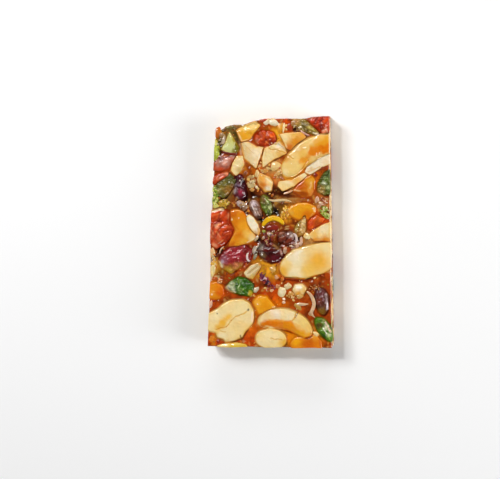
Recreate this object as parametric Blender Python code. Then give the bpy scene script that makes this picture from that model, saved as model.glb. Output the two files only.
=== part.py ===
"""A bar of dried fruit and nut brittle: one caramel slab with nuts and fruit set in it.

The bar lies on its back face with the shown face up. X runs across it, Y along it towards the end
that was broken off unevenly, and Z up through its thickness. The origin is the middle of the
footprint. Every nut and fruit of about 7 mm or more is its own solid in a fitted pocket of the
caramel; the smaller crumbs are one with the caramel.
"""

import math

import bmesh
import bpy
from mathutils import Matrix, Vector, noise

MM = 0.001

# The bar: real sizes in millimetres.
BAR_THICK = 10.5
FOOT = 42.6  # from the table's zero to the cut foot
LEFT_AT = -22.1  # where the knife's two long cuts cross the table's zero
RIGHT_AT = 22.75
END_AT = 38.3  # the broken end: its low left shoulder, and what it rises and falls by
END_STEP = 3.7
END_SHOULDER = 1.3
END_NOTCH = 0.6
EDGE_INSET = 0.35  # the caramel's sides stand this far inside the cut nuts
FACE_INSET = 0.55  # and its shown face this far below the nuts
PIECE_GAP = 0.3  # between a piece and its pocket, or its neighbour
PIECE_PROUD = 0.12  # a piece's middle stands this far out of the face before it is cut flat
PIECE_TILT = (2.0, 1.5)  # degrees that pieces lean about their two long axes at most
SIDE_RELIEF = 0.35
FACE_RELIEF = 0.3
SLAB_CELLS = (8, 14, 2)  # across, along and through the slab

# Each kind: depth in mm, how square its section is (1 is round), colour and roughness.
KINDS = {
    "almond": dict(deep=5.0, square=0.45, colour=(0.88, 0.66, 0.34), rough=0.35),
    "cashew": dict(deep=5.2, square=0.5, colour=(0.86, 0.62, 0.27), rough=0.32),
    "cut_nut": dict(deep=4.6, square=0.3, colour=(0.84, 0.7, 0.46), rough=0.5),
    "pistachio": dict(deep=4.8, square=0.75, colour=(0.27, 0.33, 0.06), rough=0.3),
    "seed": dict(deep=2.6, square=0.7, colour=(0.36, 0.32, 0.1), rough=0.35),
    "fruit": dict(deep=4.6, square=0.6, colour=(0.55, 0.07, 0.015), rough=0.28),
    "cranberry": dict(deep=4.8, square=0.7, colour=(0.12, 0.01, 0.015), rough=0.2),
    "peel": dict(deep=2.4, square=0.6, colour=(0.82, 0.5, 0.02), rough=0.25),
}
# How much each kind narrows towards one end, and how far its outline swells unevenly.
SHAPES = {
    "almond": (0.2, 0.02),
    "cashew": (0.0, 0.0),
    "cut_nut": (0.1, 0.06),
    "pistachio": (0.08, 0.0),
    "seed": (0.25, 0.0),
    "fruit": (0.0, 0.06),
    "cranberry": (0.0, 0.06),
    "peel": (0.0, 0.0),
}
CARAMEL_COLOUR = (0.42, 0.11, 0.012)
CARAMEL_ROUGH = 0.12


def piece(name, kind, *corners, turn=0.0, sweep=0.0, back=False):
    """One nut or fruit, lying in its face. Either its corners in mm, or its middle and then its
    length and width; turn is from +X and sweep is the arc that a curled one bends round."""
    if len(corners) > 2:
        x = sum(c[0] for c in corners) / len(corners)
        y = sum(c[1] for c in corners) / len(corners)
        reach = [math.hypot(c[0] - x, c[1] - y) for c in corners]
        long = 2.0 * max(reach)
        wide = 2.0 * min(reach)
        corners = [(c[0] - x, c[1] - y) for c in corners]
    else:
        (x, y), (long, wide) = corners
        corners = None
    return dict(name=name, kind=kind, x=x, y=y, long=long, wide=wide, turn=turn, sweep=sweep,
                corners=corners, deep=KINDS[kind]["deep"], back=back)


# The shown face, from its uneven end down. Where two pieces meet, the later one is trimmed.
SHOWN = [
    piece("cashew_northeast", "cashew", (4.4, 22.6), (4.7, 25.2), (7.0, 28.6), (11.0, 32.6),
          (15.0, 35.0), (19.0, 36.1), (24.5, 36.0), (24.5, 29.8), (19.0, 27.4), (13.6, 23.8),
          (10.0, 20.8), (6.0, 20.0)),
    piece("almond_east", "almond", (3.5, -13.2), (5.2, -9.2), (9.2, -6.0), (14.6, -4.4),
          (24.5, -3.1), (24.5, -12.2), (20.4, -14.6), (17.0, -15.6), (13.4, -16.9), (10.0, -16.4),
          (5.0, -16.2)),
    piece("almond_southwest", "almond", (-23.8, -30.2), (-19.6, -28.1), (-17.0, -25.8),
          (-14.0, -24.6), (-10.2, -24.3), (-7.5, -25.8), (-6.0, -28.4), (-5.8, -31.5),
          (-6.6, -33.8), (-9.1, -36.5), (-10.4, -39.1), (-14.1, -40.4), (-16.9, -41.0),
          (-17.5, -39.6), (-20.1, -39.1), (-20.4, -37.2), (-23.8, -36.4)),
    piece("almond_round_south", "almond", (0.3, -39.3), (11.8, 7.9), turn=-2),
    piece("cashew_south", "cashew", (5.8, -34.2), (22.5, 8.2), turn=-14, sweep=100),
    piece("fruit_west", "fruit", (-22.8, 6.0), (-21.4, 8.4), (-17.0, 9.1), (-14.3, 8.2),
          (-14.6, 4.2), (-12.8, 1.4), (-13.6, -0.6), (-16.6, -4.4), (-20.0, -6.4), (-23.0, -3.4)),
    piece("almond_sliver_west", "cut_nut", (-8.3, 5.9), (-7.4, 6.9), (-5.6, 5.6), (-3.9, 3.2),
          (-3.2, 0.8), (-3.9, -1.2), (-5.2, -0.3), (-6.4, 1.0), (-7.7, 3.2)),
    piece("almond_amber_west", "almond", (-14.6, 8.2), (-12.0, 8.8), (-9.6, 8.0), (-8.0, 6.0),
          (-7.4, 3.0), (-5.8, 0.8), (-4.6, -1.6), (-5.6, -2.8), (-8.4, -3.9), (-12.0, -4.9),
          (-15.4, -5.2), (-14.4, -2.6), (-12.6, 0.9), (-13.8, 4.0)),
    piece("pistachio_burgundy", "pistachio", (-19.0, -9.6), (-17.6, -6.8), (-14.4, -4.9),
          (-9.2, -4.1), (-6.0, -6.0), (-6.6, -9.6), (-10.6, -12.8), (-14.6, -15.2),
          (-18.2, -12.8)),
    piece("pistachio_green", "pistachio", (-16.8, -20.4), (-14.9, -18.1), (-11.7, -16.2),
          (-8.6, -16.6), (-6.0, -18.8), (-5.6, -21.4), (-7.4, -23.6), (-10.4, -23.2),
          (-14.7, -21.8)),
    piece("peel_ring", "peel", (1.5, 4.0), (10.6, 2.0), turn=5, sweep=145),
    piece("cranberry_centre", "cranberry", (0.5, -7.0), (10.4, 8.2), turn=-28),
    piece("cranberry_brown", "cranberry", (6.7, -1.9), (7.8, 5.6), turn=-22),
    piece("almond_cut_east", "cut_nut", (14.4, -1.0), (16.2, 0.9), (20.0, 3.1), (24.5, 4.7),
          (24.5, -3.1), (16.6, -2.9)),
    piece("seed_middle", "seed", (11.9, 2.4), (8.6, 4.0), turn=70),
    piece("fruit_east", "fruit", (14.4, 1.6), (14.4, 3.8), (15.4, 5.6), (17.6, 6.8), (20.6, 5.2),
          (20.0, 3.9), (17.6, 2.2), (15.6, 0.9)),
    piece("almond_golden_east", "almond", (7.0, 8.0), (8.2, 10.0), (10.8, 10.9), (14.4, 11.0),
          (17.6, 9.6), (17.2, 7.2), (14.6, 4.8), (11.0, 4.8), (8.4, 6.0)),
    piece("pistachio_mid", "pistachio", (-0.8, 10.0), (8.6, 4.2), turn=-72),
    piece("pistachio_mauve", "pistachio", (-4.8, 8.8), (8.2, 4.2), turn=-68),
    piece("fruit_north", "fruit", (-0.9, 34.8), (8.0, 5.8), turn=4),
    piece("almond_north", "cut_nut", (-11.7, 37.9), (-8.4, 39.6), (-4.6, 41.2), (-2.5, 39.6),
          (-5.4, 36.2), (-6.4, 34.3), (-9.9, 33.5)),
    piece("seed_northeast", "seed", (13.8, 38.7), (11.6, 4.4), turn=-30),
    piece("fruit_northeast", "fruit", (14.8, 41.0), (16.4, 43.6), (24.0, 43.8), (24.0, 37.0),
          (20.2, 35.9), (17.6, 38.2)),
    piece("almond_wedge", "cut_nut", (4.4, 36.2), (12.9, 37.0), (14.1, 35.0), (11.8, 33.2),
          (8.2, 30.1), (6.8, 30.8)),
    piece("almond_cream_left", "cut_nut", (-9.9, 33.2), (-7.0, 33.4), (-4.4, 31.8), (-1.6, 31.5),
          (-3.0, 27.6), (-4.4, 23.6), (-9.0, 27.4)),
    piece("almond_cream_right", "cut_nut", (-1.2, 31.0), (4.2, 33.5), (6.1, 31.8), (7.0, 29.2),
          (1.6, 26.6), (-2.1, 23.9), (-2.2, 27.4)),
    piece("pistachio_northwest", "pistachio", (-14.2, 37.4), (-12.4, 34.3), (-10.6, 31.6),
          (-11.4, 29.6), (-14.2, 28.8), (-17.4, 30.8), (-15.4, 34.4)),
    piece("pistachio_west_edge", "pistachio", (-19.9, 30.6), (8.4, 4.4), turn=86),
    piece("fruit_rosy", "fruit", (-20.8, 25.6), (-18.6, 28.3), (-14.2, 28.8), (-11.2, 29.9),
          (-12.8, 27.0), (-14.4, 23.8), (-17.6, 22.7), (-20.8, 23.2)),
    piece("almond_beige_west", "cut_nut", (-11.5, 28.4), (-9.3, 28.4), (-8.8, 25.4), (-9.8, 22.8),
          (-12.0, 21.0), (-14.0, 23.0), (-13.2, 25.8)),
    piece("fruit_west_small", "fruit", (-21.4, 18.4), (-20.4, 20.6), (-18.6, 22.2), (-14.6, 22.5),
          (-14.6, 21.2), (-18.2, 19.2), (-20.0, 17.8)),
    piece("pistachio_olive", "pistachio", (-16.1, 17.5), (9.8, 5.8), turn=52),
    piece("cranberry_north", "cranberry", (-10.7, 16.6), (9.8, 5.4), turn=-82),
    piece("almond_sliver_east", "cut_nut", (13.4, 22.2), (14.2, 24.4), (17.4, 26.8), (21.0, 28.4),
          (24.5, 29.6), (24.5, 26.0), (19.4, 23.6), (15.2, 21.3)),
    piece("almond_under_cashew", "cut_nut", (3.5, 17.2), (3.9, 19.0), (8.6, 19.4), (13.4, 22.2),
          (14.4, 20.9), (9.4, 17.2), (5.2, 15.3)),
    piece("almond_amber_east", "almond", (8.6, 15.2), (10.4, 17.4), (13.6, 20.5), (15.8, 21.3),
          (17.3, 19.4), (17.2, 16.2), (15.8, 13.4), (12.0, 12.9)),
    piece("pistachio_east", "pistachio", (17.9, 15.0), (18.1, 18.4), (20.4, 22.0), (24.0, 24.4),
          (24.0, 14.4), (20.6, 13.8)),
    piece("almond_middle", "cut_nut", (-4.1, 19.6), (-3.0, 22.0), (0.4, 20.6), (1.7, 18.8),
          (1.2, 15.6), (-1.2, 15.1), (-3.4, 17.4)),
    piece("almond_beige_small", "cut_nut", (-9.7, -14.7), (-7.0, -12.1), (-4.1, -11.0),
          (-2.9, -12.2), (-4.6, -15.0), (-6.2, -17.2), (-8.4, -16.6)),
    piece("almond_amber_low_west", "almond", (-24.5, -18.6), (-20.0, -17.9), (-17.4, -19.8),
          (-16.8, -22.8), (-18.6, -24.6), (-24.5, -24.6)),
    piece("almond_amber_low", "almond", (-6.5, -25.6), (-4.3, -23.0), (-1.0, -23.2), (2.6, -27.5),
          (-0.6, -29.0), (-4.4, -30.3)),
    piece("almond_foot", "almond", (-20.6, -42.0), (-17.0, -41.2), (-12.6, -40.7), (-8.6, -41.4),
          (-8.0, -43.4), (-20.6, -43.4)),
    piece("almond_amber_foot", "almond", (7.2, -40.8), (8.8, -38.7), (11.6, -38.4), (14.4, -37.4),
          (17.2, -37.6), (19.4, -40.0), (19.4, -44.4), (8.0, -44.4)),
    piece("pistachio_southeast", "pistachio", (20.2, -35.6), (11.2, 5.4), turn=-56),
    piece("pistachio_dark_east", "pistachio", (19.3, -25.2), (10.6, 5.8), turn=-82),
    piece("almond_crumb_middle", "cut_nut", (8.4, -20.8), (9.4, -19.0), (12.2, -18.6),
          (13.8, -20.4), (12.6, -22.9), (9.4, -23.2)),
]

# The back face is like the shown one, of whole halves that the knife cut at the sides.
BACK = [
    piece("back_almond_north", "almond", (8.4, 32.9), (21.0, 12.0), turn=15, back=True),
    piece("back_almond_west", "almond", (-16.1, 21.9), (20.0, 11.5), turn=70, back=True),
    piece("back_cashew_east", "cashew", (17.0, 11.9), (22.0, 8.0), turn=100, sweep=80, back=True),
    piece("back_fruit_middle", "fruit", (1.4, 12.9), (13.0, 9.0), turn=40, back=True),
    piece("back_pistachio_middle", "pistachio", (-8.6, 2.9), (13.0, 7.4), turn=-35, back=True),
    piece("back_almond_middle", "almond", (8.9, -5.6), (21.0, 12.0), turn=160, back=True),
    piece("back_cranberry_west", "cranberry", (-18.1, -3.1), (9.5, 7.0), turn=60, back=True),
    piece("back_cut_almond_west", "cut_nut", (-18.1, -17.6), (12.0, 8.0), turn=80, back=True),
    piece("back_cashew_south", "cashew", (-1.6, -22.1), (23.0, 8.0), turn=20, sweep=90, back=True),
    piece("back_pistachio_east", "pistachio", (19.4, -21.1), (12.0, 7.0), turn=75, back=True),
    piece("back_almond_south", "almond", (9.9, -37.1), (20.0, 11.5), turn=-8, back=True),
    piece("back_fruit_southwest", "fruit", (-14.1, -35.6), (13.0, 9.0), turn=-40, back=True),
]

# Crumbs of the shown face, one with the caramel: middle, length and width in mm, and turn.
CRUMBS = [
    (1.6, 40.4, 5.4, 2.8, 0), (4.8, 38.4, 4.2, 2.6, 80), (10.2, 40.4, 3.2, 2.0, 20),
    (7.9, 38.6, 2.8, 1.6, 85), (-13.2, 38.9, 5.6, 1.8, 6), (-18.5, 36.9, 3.2, 2.2, 80),
    (-16.4, 34.4, 3.0, 1.3, 75), (2.4, 24.6, 3.8, 3.2, 20), (-6.3, 18.6, 4.0, 2.4, 70),
    (-4.1, 22.6, 2.4, 1.8, 80), (-19.6, 14.4, 4.8, 2.8, 75), (-19.9, 10.8, 3.4, 2.6, 30),
    (-15.8, 10.8, 5.6, 2.4, 10), (-10.0, 10.3, 4.4, 2.8, -20), (5.0, 12.0, 6.0, 1.1, -6),
    (21.4, 7.6, 4.4, 2.6, -60), (5.6, 7.4, 4.6, 2.4, 70), (1.8, 1.7, 4.4, 2.4, 0),
    (13.2, -1.6, 2.6, 2.4, 80), (-21.0, -13.4, 5.6, 2.2, 88), (-1.7, -17.0, 5.2, 2.2, -42),
    (6.7, -19.2, 3.0, 2.4, 60), (4.6, -21.6, 3.8, 2.6, 84), (15.9, -25.4, 6.8, 1.3, -84),
    (11.2, -26.6, 4.2, 1.6, -12), (17.0, -36.6, 2.2, 1.5, -30), (1.4, -13.5, 2.4, 1.8, 0),
    (-22.0, -26.4, 2.8, 1.4, 80), (-5.0, -21.4, 1.8, 1.4, 60), (18.0, 11.6, 2.6, 1.4, 80),
]
CRUMB_RISE = 0.4  # above the caramel
CRUMB_DEEP = 2.4

# Cut nuts that the sides and the foot show between the larger ones, in this many uneven rows.
SIDE_ROWS = 2
SIDE_STEP = 8.6
SIDE_SIZE = (7.4, 3.9)
SIDE_DEEP = 1.6
SIDE_END = 2.5  # clear of the bar's corners
FRAGMENT_SIDES = 5


def left_edge(y):
    """The knife's left cut leans in towards the broken end and out towards the foot."""
    return LEFT_AT + 0.066 * max(0.0, y) + 0.02 * min(0.0, y) + 0.04 * min(0.0, y + 20.0)


def right_edge(y):
    return RIGHT_AT - 0.008 * y


def top_edge(x):
    """The broken end: a low left shoulder, a step up at the middle, and a notch near the right."""
    step = END_STEP / (1.0 + math.exp(-(x + 8.5) / 2.2))
    shoulder = END_SHOULDER * math.exp(-(((x + 12.8) / 2.6) ** 2))
    notch = END_NOTCH * math.exp(-(((x - 11.5) / 3.0) ** 2))
    return END_AT + step + shoulder - notch + 0.03 * max(0.0, x)


def bottom_edge(x):
    return -FOOT + 0.1 * math.sin(0.5 * x)


def wobble(index, step, size):
    """A fixed uneven value for a piece, the same on every run."""
    return size * math.sin(12.9898 * (index + 1) + 78.233 * step)


def ring_of(p, index):
    """The points of a piece's outline round its middle, in mm, seen from above."""
    if p["corners"]:
        return p["corners"]
    around = 14 if p["long"] > 14.0 else 10 if p["long"] > 9.0 else 8
    taper, swell = SHAPES[p["kind"]]
    ring = []
    for k in range(around):
        angle = 2.0 * math.pi * k / around
        u = math.cos(angle)
        v = math.sin(angle) * (1.0 - taper * u)
        reach = 0.5 * (1.0 + swell * math.sin(3.0 * angle + index))
        ring.append((u * reach * p["long"], v * reach * p["wide"]))
    return ring


def piece_mesh(p, index, grow=0.0):
    """A closed shell of the piece in mm, in the bar's frame, swollen all round by grow."""
    square = KINDS[p["kind"]]["square"]
    ring = ring_of(p, index)
    rings = 4 if p["long"] > 9.0 else 3
    tall = p["deep"] / 2.0 + grow
    bm = bmesh.new()
    bmesh.ops.create_uvsphere(bm, u_segments=len(ring), v_segments=rings, radius=1.0)
    for v in bm.verts:
        flat = math.hypot(v.co.x, v.co.y)
        step = round(math.atan2(v.co.y, v.co.x) * len(ring) / (2.0 * math.pi))
        u, w = ring[step % len(ring)]
        spread = flat ** square * (1.0 + grow / math.hypot(u, w)) if flat > 1e-6 else 0.0
        high = math.copysign(abs(v.co.z) ** square, v.co.z)
        x, y = curl(u * spread, w * spread, p["long"], p["sweep"])
        v.co = Vector((x, y, high * tall))
    tilt = Matrix.Rotation(math.radians(wobble(index, 1, PIECE_TILT[0])), 3, "X")
    tilt = tilt @ Matrix.Rotation(math.radians(wobble(index, 2, PIECE_TILT[1])), 3, "Y")
    turn = Matrix.Rotation(math.radians(p["turn"]), 3, "Z")
    proud = PIECE_PROUD + wobble(index, 3, PIECE_PROUD)
    sunk = p["deep"] / 2.0 - proud
    middle = Vector((p["x"], p["y"], sunk if p["back"] else BAR_THICK - sunk))
    for v in bm.verts:
        v.co = turn @ (tilt @ v.co) + middle
    return bm


def curl(x, y, long, sweep):
    """Bends a straight piece round an arc of this many degrees, its ends towards -Y."""
    if not sweep:
        return x, y
    radius = long / math.radians(sweep)
    turned = x / radius
    sag = radius * (1.0 - math.cos(math.radians(sweep) / 2.0))
    return (radius + y) * math.sin(turned), (radius + y) * math.cos(turned) - radius + sag / 2.0


def cut_flat(bm, point, normal):
    """Takes off what lies beyond the plane and closes the cut."""
    geometry = bm.verts[:] + bm.edges[:] + bm.faces[:]
    done = bmesh.ops.bisect_plane(
        bm, geom=geometry, dist=1e-5, plane_co=point, plane_no=normal, clear_outer=True
    )
    rim = [e for e in done["geom_cut"] if isinstance(e, bmesh.types.BMEdge) and e.is_boundary]
    if rim:
        bmesh.ops.holes_fill(bm, edges=rim, sides=0)


def trim_to_bar(bm, p):
    """Cuts a piece along the knife's sides, and flat at both faces."""
    slope = (left_edge(p["y"] + 1.0) - left_edge(p["y"] - 1.0)) / 2.0
    cut_flat(bm, Vector((left_edge(p["y"]), p["y"], 0)), Vector((-1.0, slope, 0)).normalized())
    slope = (right_edge(p["y"] + 1.0) - right_edge(p["y"] - 1.0)) / 2.0
    cut_flat(bm, Vector((right_edge(p["y"]), p["y"], 0)), Vector((1.0, -slope, 0)).normalized())
    end = top_edge(p["x"])
    slope = (top_edge(p["x"] + 1.0) - top_edge(p["x"] - 1.0)) / 2.0
    cut_flat(bm, Vector((p["x"], end, 0)), Vector((-slope, 1.0, 0)).normalized())
    cut_flat(bm, Vector((0, -FOOT, 0)), Vector((0, -1.0, 0)))
    cut_flat(bm, Vector((0, 0, 0)), Vector((0, 0, -1.0)))
    cut_flat(bm, Vector((0, 0, BAR_THICK)), Vector((0, 0, 1.0)))


def mesh_object(name, bm, collection, material=None, helper=False):
    """An object of this mesh, from millimetres to metres."""
    bmesh.ops.scale(bm, vec=Vector((MM, MM, MM)), verts=bm.verts)
    bmesh.ops.recalc_face_normals(bm, faces=bm.faces)
    bmesh.ops.triangulate(bm, faces=bm.faces)
    mesh = bpy.data.meshes.new(name)
    bm.to_mesh(mesh)
    bm.free()
    if material:
        mesh.materials.append(material)
    made = bpy.data.objects.new(name, mesh)
    collection.objects.link(made)
    if helper:
        made.hide_render = True
        made.display_type = "WIRE"
    return made


def new_collection(name, helper=False):
    made = bpy.data.collections.new(name)
    bpy.context.scene.collection.children.link(made)
    made.hide_render = helper
    return made


def plain_material(name, colour, rough):
    """A food surface with a thin glaze."""
    made = bpy.data.materials.new(name)
    made.use_nodes = True
    shader = made.node_tree.nodes["Principled BSDF"]
    shader.inputs["Base Color"].default_value = (*colour, 1.0)
    shader.inputs["Roughness"].default_value = rough
    shader.inputs["Metallic"].default_value = 0.0
    return made


def boolean(target, operation, operands):
    """Joins or cuts with one object or a whole collection, and applies it."""
    modifier = target.modifiers.new(operation.title(), "BOOLEAN")
    modifier.operation = operation
    modifier.solver = "MANIFOLD"
    if isinstance(operands, bpy.types.Collection):
        modifier.operand_type = "COLLECTION"
        modifier.collection = operands
    else:
        modifier.object = operands
    graph = bpy.context.evaluated_depsgraph_get()
    graph.update()
    old = target.data
    target.data = bpy.data.meshes.new_from_object(target.evaluated_get(graph))
    target.modifiers.clear()
    name = old.name
    bpy.data.meshes.remove(old)
    target.data.name = name


def keep_largest(target):
    """Drops the scraps that a cut leaves."""
    bm = bmesh.new()
    bm.from_mesh(target.data)
    bm.verts.ensure_lookup_table()
    unseen = set(bm.verts)
    islands = []
    while unseen:
        island = set()
        front = [unseen.pop()]
        while front:
            vert = front.pop()
            island.add(vert)
            for edge in vert.link_edges:
                other = edge.other_vert(vert)
                if other in unseen:
                    unseen.remove(other)
                    front.append(other)
        islands.append(island)
    biggest = max(islands, key=len)
    loose = [v for island in islands if island is not biggest for v in island]
    bmesh.ops.delete(bm, geom=loose, context="VERTS")
    bm.to_mesh(target.data)
    bm.free()


def slab_mesh():
    """The caramel: a block shaped to the bar's edges, wavy on its shown face and its sides."""
    bm = bmesh.new()
    bmesh.ops.create_cube(bm, size=1.0)
    for axis, cells in enumerate(SLAB_CELLS):
        along = [
            e for e in bm.edges
            if abs((e.verts[0].co - e.verts[1].co)[axis]) > 1e-4
        ]
        bmesh.ops.subdivide_edges(bm, edges=along, cuts=cells - 1, use_grid_fill=True)
    for v in bm.verts:
        s, t, w = (c + 0.5 for c in v.co)
        side = min(s, 1.0 - s) < 1e-4
        end = min(t, 1.0 - t) < 1e-4
        y = bottom_edge(0) + (top_edge(0) - bottom_edge(0)) * t
        low = left_edge(y) + EDGE_INSET
        high = right_edge(y) - EDGE_INSET
        x = low + (high - low) * s
        y = bottom_edge(x) + EDGE_INSET
        y += (top_edge(x) - EDGE_INSET - y) * t
        z = (BAR_THICK - FACE_INSET) * w
        ripple = noise.noise(Vector((x, y, 2.0 * z)) / 4.0)
        if side and 0.0 < w:
            x += math.copysign(SIDE_RELIEF, s - 0.5) * (ripple - 0.2)
        if end and 0.0 < w:
            y += math.copysign(SIDE_RELIEF, t - 0.5) * (ripple - 0.2)
        if w > 0.999:
            z += FACE_RELIEF * noise.noise(Vector((x, y, 9.0)) / 3.5)
        v.co = Vector((x, y, z))
    under = [v for v in bm.verts if v.co.z < 1e-4]
    bmesh.ops.dissolve_limit(bm, angle_limit=0.01, verts=under, edges=bm.edges)
    return bm


def fragment(index, long, wide, deep):
    """A fragment of nut with a few flat sides, its shown end up and level with zero."""
    bm = bmesh.new()
    bmesh.ops.create_cone(
        bm, cap_ends=True, segments=FRAGMENT_SIDES, radius1=0.38, radius2=0.5, depth=deep
    )
    for k, v in enumerate(bm.verts):
        v.co.x *= long * (1.0 + wobble(index, k, 0.12))
        v.co.y *= wide * (1.0 + wobble(index, k + 7, 0.12))
        v.co.z -= deep / 2.0
    return bm


def place(bm, matrix):
    bmesh.ops.transform(bm, matrix=matrix, verts=bm.verts)
    return bm


def face_crumbs():
    """The crumbs that stand a little above the caramel of the shown face."""
    for index, (x, y, long, wide, turn) in enumerate(CRUMBS):
        rise = BAR_THICK - FACE_INSET + CRUMB_RISE + wobble(index, 5, 0.1)
        where = Matrix.Translation((x, y, rise)) @ Matrix.Rotation(math.radians(turn), 4, "Z")
        bm = place(fragment(index, long, wide, CRUMB_DEEP), where)
        trim_to_bar(bm, dict(x=x, y=y))
        yield bm


def side_crumbs():
    """Rows of cut nuts along both sides and the foot, level with the knife's cut."""
    index = len(CRUMBS)
    for side in (-1, 1):
        for row in range(SIDE_ROWS):
            y = -FOOT + SIDE_STEP * (0.6 + 0.5 * row)
            while y < top_edge(side * 20.0) - SIDE_END:
                y += wobble(index, 2, 0.9)
                z = BAR_THICK * (row + 0.5) / SIDE_ROWS + wobble(index, 3, 0.7)
                x = left_edge(y) if side < 0 else right_edge(y)
                where = Matrix.Translation((x, y, z)) @ Matrix.Rotation(side * math.pi / 2, 4, "Y")
                where = where @ Matrix.Rotation(math.pi / 2 + wobble(index, 4, 0.35), 4, "Z")
                size = [s * (1.0 + wobble(index, 6, 0.25)) for s in SIDE_SIZE]
                bm = place(fragment(index, size[0], size[1], SIDE_DEEP), where)
                trim_to_bar(bm, dict(x=0.0, y=y))
                yield bm
                index += 1
                y += SIDE_STEP
    for row in range(SIDE_ROWS):
        x = left_edge(-FOOT) + SIDE_STEP * (0.6 + 0.5 * row)
        while x < right_edge(-FOOT) - SIDE_END:
            z = BAR_THICK * (row + 0.5) / SIDE_ROWS + wobble(index, 3, 0.7)
            where = Matrix.Translation((x, -FOOT, z)) @ Matrix.Rotation(math.pi / 2, 4, "X")
            where = where @ Matrix.Rotation(wobble(index, 4, 0.35), 4, "Z")
            size = [s * (1.0 + wobble(index, 6, 0.25)) for s in SIDE_SIZE]
            bm = place(fragment(index, size[0], size[1], SIDE_DEEP), where)
            trim_to_bar(bm, dict(x=x, y=-FOOT))
            yield bm
            index += 1
            x += SIDE_STEP


def main():
    for old in list(bpy.data.objects):
        bpy.data.objects.remove(old)
    bar = new_collection("dried_fruit_brittle")
    crumbs = new_collection("crumbs", helper=True)
    pockets = new_collection("pockets", helper=True)
    materials = {
        kind: plain_material(kind, facts["colour"], facts["rough"])
        for kind, facts in KINDS.items()
    }
    caramel = plain_material("caramel", CARAMEL_COLOUR, CARAMEL_ROUGH)

    placed = []
    for index, p in enumerate(SHOWN + BACK):
        shell = piece_mesh(p, index)
        trim_to_bar(shell, p)
        made = mesh_object(p["name"], shell, bar, materials[p["kind"]])
        swollen = piece_mesh(p, index, grow=PIECE_GAP)
        pocket = mesh_object("pocket_" + p["name"], swollen, pockets, helper=True)
        for other, other_pocket in placed:
            if close_by(p, other):
                boolean(made, "DIFFERENCE", other_pocket)
        keep_largest(made)
        placed.append((p, pocket))

    slab = mesh_object("caramel_slab", slab_mesh(), bar, caramel)
    for index, crumb in enumerate(list(face_crumbs()) + list(side_crumbs())):
        mesh_object("crumb_%02d" % index, crumb, crumbs, helper=True)
    boolean(slab, "UNION", crumbs)
    boolean(slab, "DIFFERENCE", pockets)
    keep_largest(slab)
    for helper in list(crumbs.objects) + list(pockets.objects):
        bpy.data.objects.remove(helper)
    centre_footprint(bar)


def centre_footprint(bar):
    """Moves the whole bar so that the origin is the middle of its footprint."""
    corners = [v.co for made in bar.objects for v in made.data.vertices]
    shift = Vector((0.0, 0.0, 0.0))
    for axis in (0, 1):
        low = min(c[axis] for c in corners)
        high = max(c[axis] for c in corners)
        shift[axis] = -(low + high) / 2.0
    for made in bar.objects:
        made.data.transform(Matrix.Translation(shift))


def close_by(a, b):
    """Whether two pieces may meet."""
    if a["back"] == b["back"] or a["deep"] + b["deep"] > BAR_THICK - 2 * PIECE_GAP:
        reach = (a["long"] + b["long"]) / 2.0 + 2.0 * PIECE_GAP
        return math.hypot(a["x"] - b["x"], a["y"] - b["y"]) < reach
    return False


main()
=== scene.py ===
"""The looks of a bar of dried fruit and nut brittle, lying flat with its shown face up."""

import math

import bpy
import numpy as np
from mathutils import Matrix, Vector


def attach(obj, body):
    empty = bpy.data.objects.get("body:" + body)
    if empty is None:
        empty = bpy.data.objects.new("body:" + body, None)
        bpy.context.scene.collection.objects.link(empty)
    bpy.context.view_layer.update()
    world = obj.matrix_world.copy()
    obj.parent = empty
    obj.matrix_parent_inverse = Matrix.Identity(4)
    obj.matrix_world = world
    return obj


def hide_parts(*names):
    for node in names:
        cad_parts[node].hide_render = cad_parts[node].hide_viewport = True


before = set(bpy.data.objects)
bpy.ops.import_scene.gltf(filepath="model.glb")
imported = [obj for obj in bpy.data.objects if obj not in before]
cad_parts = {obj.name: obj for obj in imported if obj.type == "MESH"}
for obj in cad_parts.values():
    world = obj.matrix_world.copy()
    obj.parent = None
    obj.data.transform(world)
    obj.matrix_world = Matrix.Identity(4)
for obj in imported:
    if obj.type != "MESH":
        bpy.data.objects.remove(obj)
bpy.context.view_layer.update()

MM = 0.001

# The bar, in mm. The tables are drawn from a zero that SHIFT brings to the footprint's middle.
BAR_THICK = 10.5
LEFT_CUT, RIGHT_CUT = -22.1, 22.75
FOOT = 42.6  # how far the foot lies below the zero
BROKEN_END = 38.3  # and its broken end above it, at the low left shoulder
STEP, BULGE, NOTCH = 3.7, 1.3, 0.6  # how far the broken end steps up, bulges and is notched
EDGE_INSET = 0.3  # how far the caramel stays back from the outline
SHIFT = (0.27, -0.04)

NUTS = ("almond", "cashew", "cut_nut")
FRUITS = ("fruit", "cranberry")


# --- the bar's own outline, in millimetres -----------------------------------------------------

def left_edge(y):
    """The knife's left cut leans in towards the broken end and out towards the foot."""
    lean = 0.066 * np.maximum(0.0, y) + 0.02 * np.minimum(0.0, y)
    return LEFT_CUT + lean + 0.04 * np.minimum(0.0, y + 20.0)


def right_edge(y):
    """The right cut is straight, and nearly square to the foot."""
    return RIGHT_CUT - 0.008 * y


def top_edge(x):
    """The broken end: a low left shoulder, a step up at the middle, and a notch near the right."""
    step = STEP / (1.0 + np.exp(-(x + 8.5) / 2.2))
    shoulder = BULGE * np.exp(-(((x + 12.8) / 2.6) ** 2))
    notch = NOTCH * np.exp(-(((x - 11.5) / 3.0) ** 2))
    return BROKEN_END + step + shoulder - notch + 0.03 * np.maximum(0.0, x)


def bottom_edge(x):
    """The foot is a straight cut with a slight wave."""
    return -FOOT + 0.1 * np.sin(0.5 * x)


def inside_bar(x, y, margin=0.0):
    """Whether a place lies within the bar's outline."""
    across = (x > left_edge(y) + margin) & (x < right_edge(y) - margin)
    return across & (y > bottom_edge(x) + margin) & (y < top_edge(x) - margin)


# --- uneven fields, the same on every run ------------------------------------------------------

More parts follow.
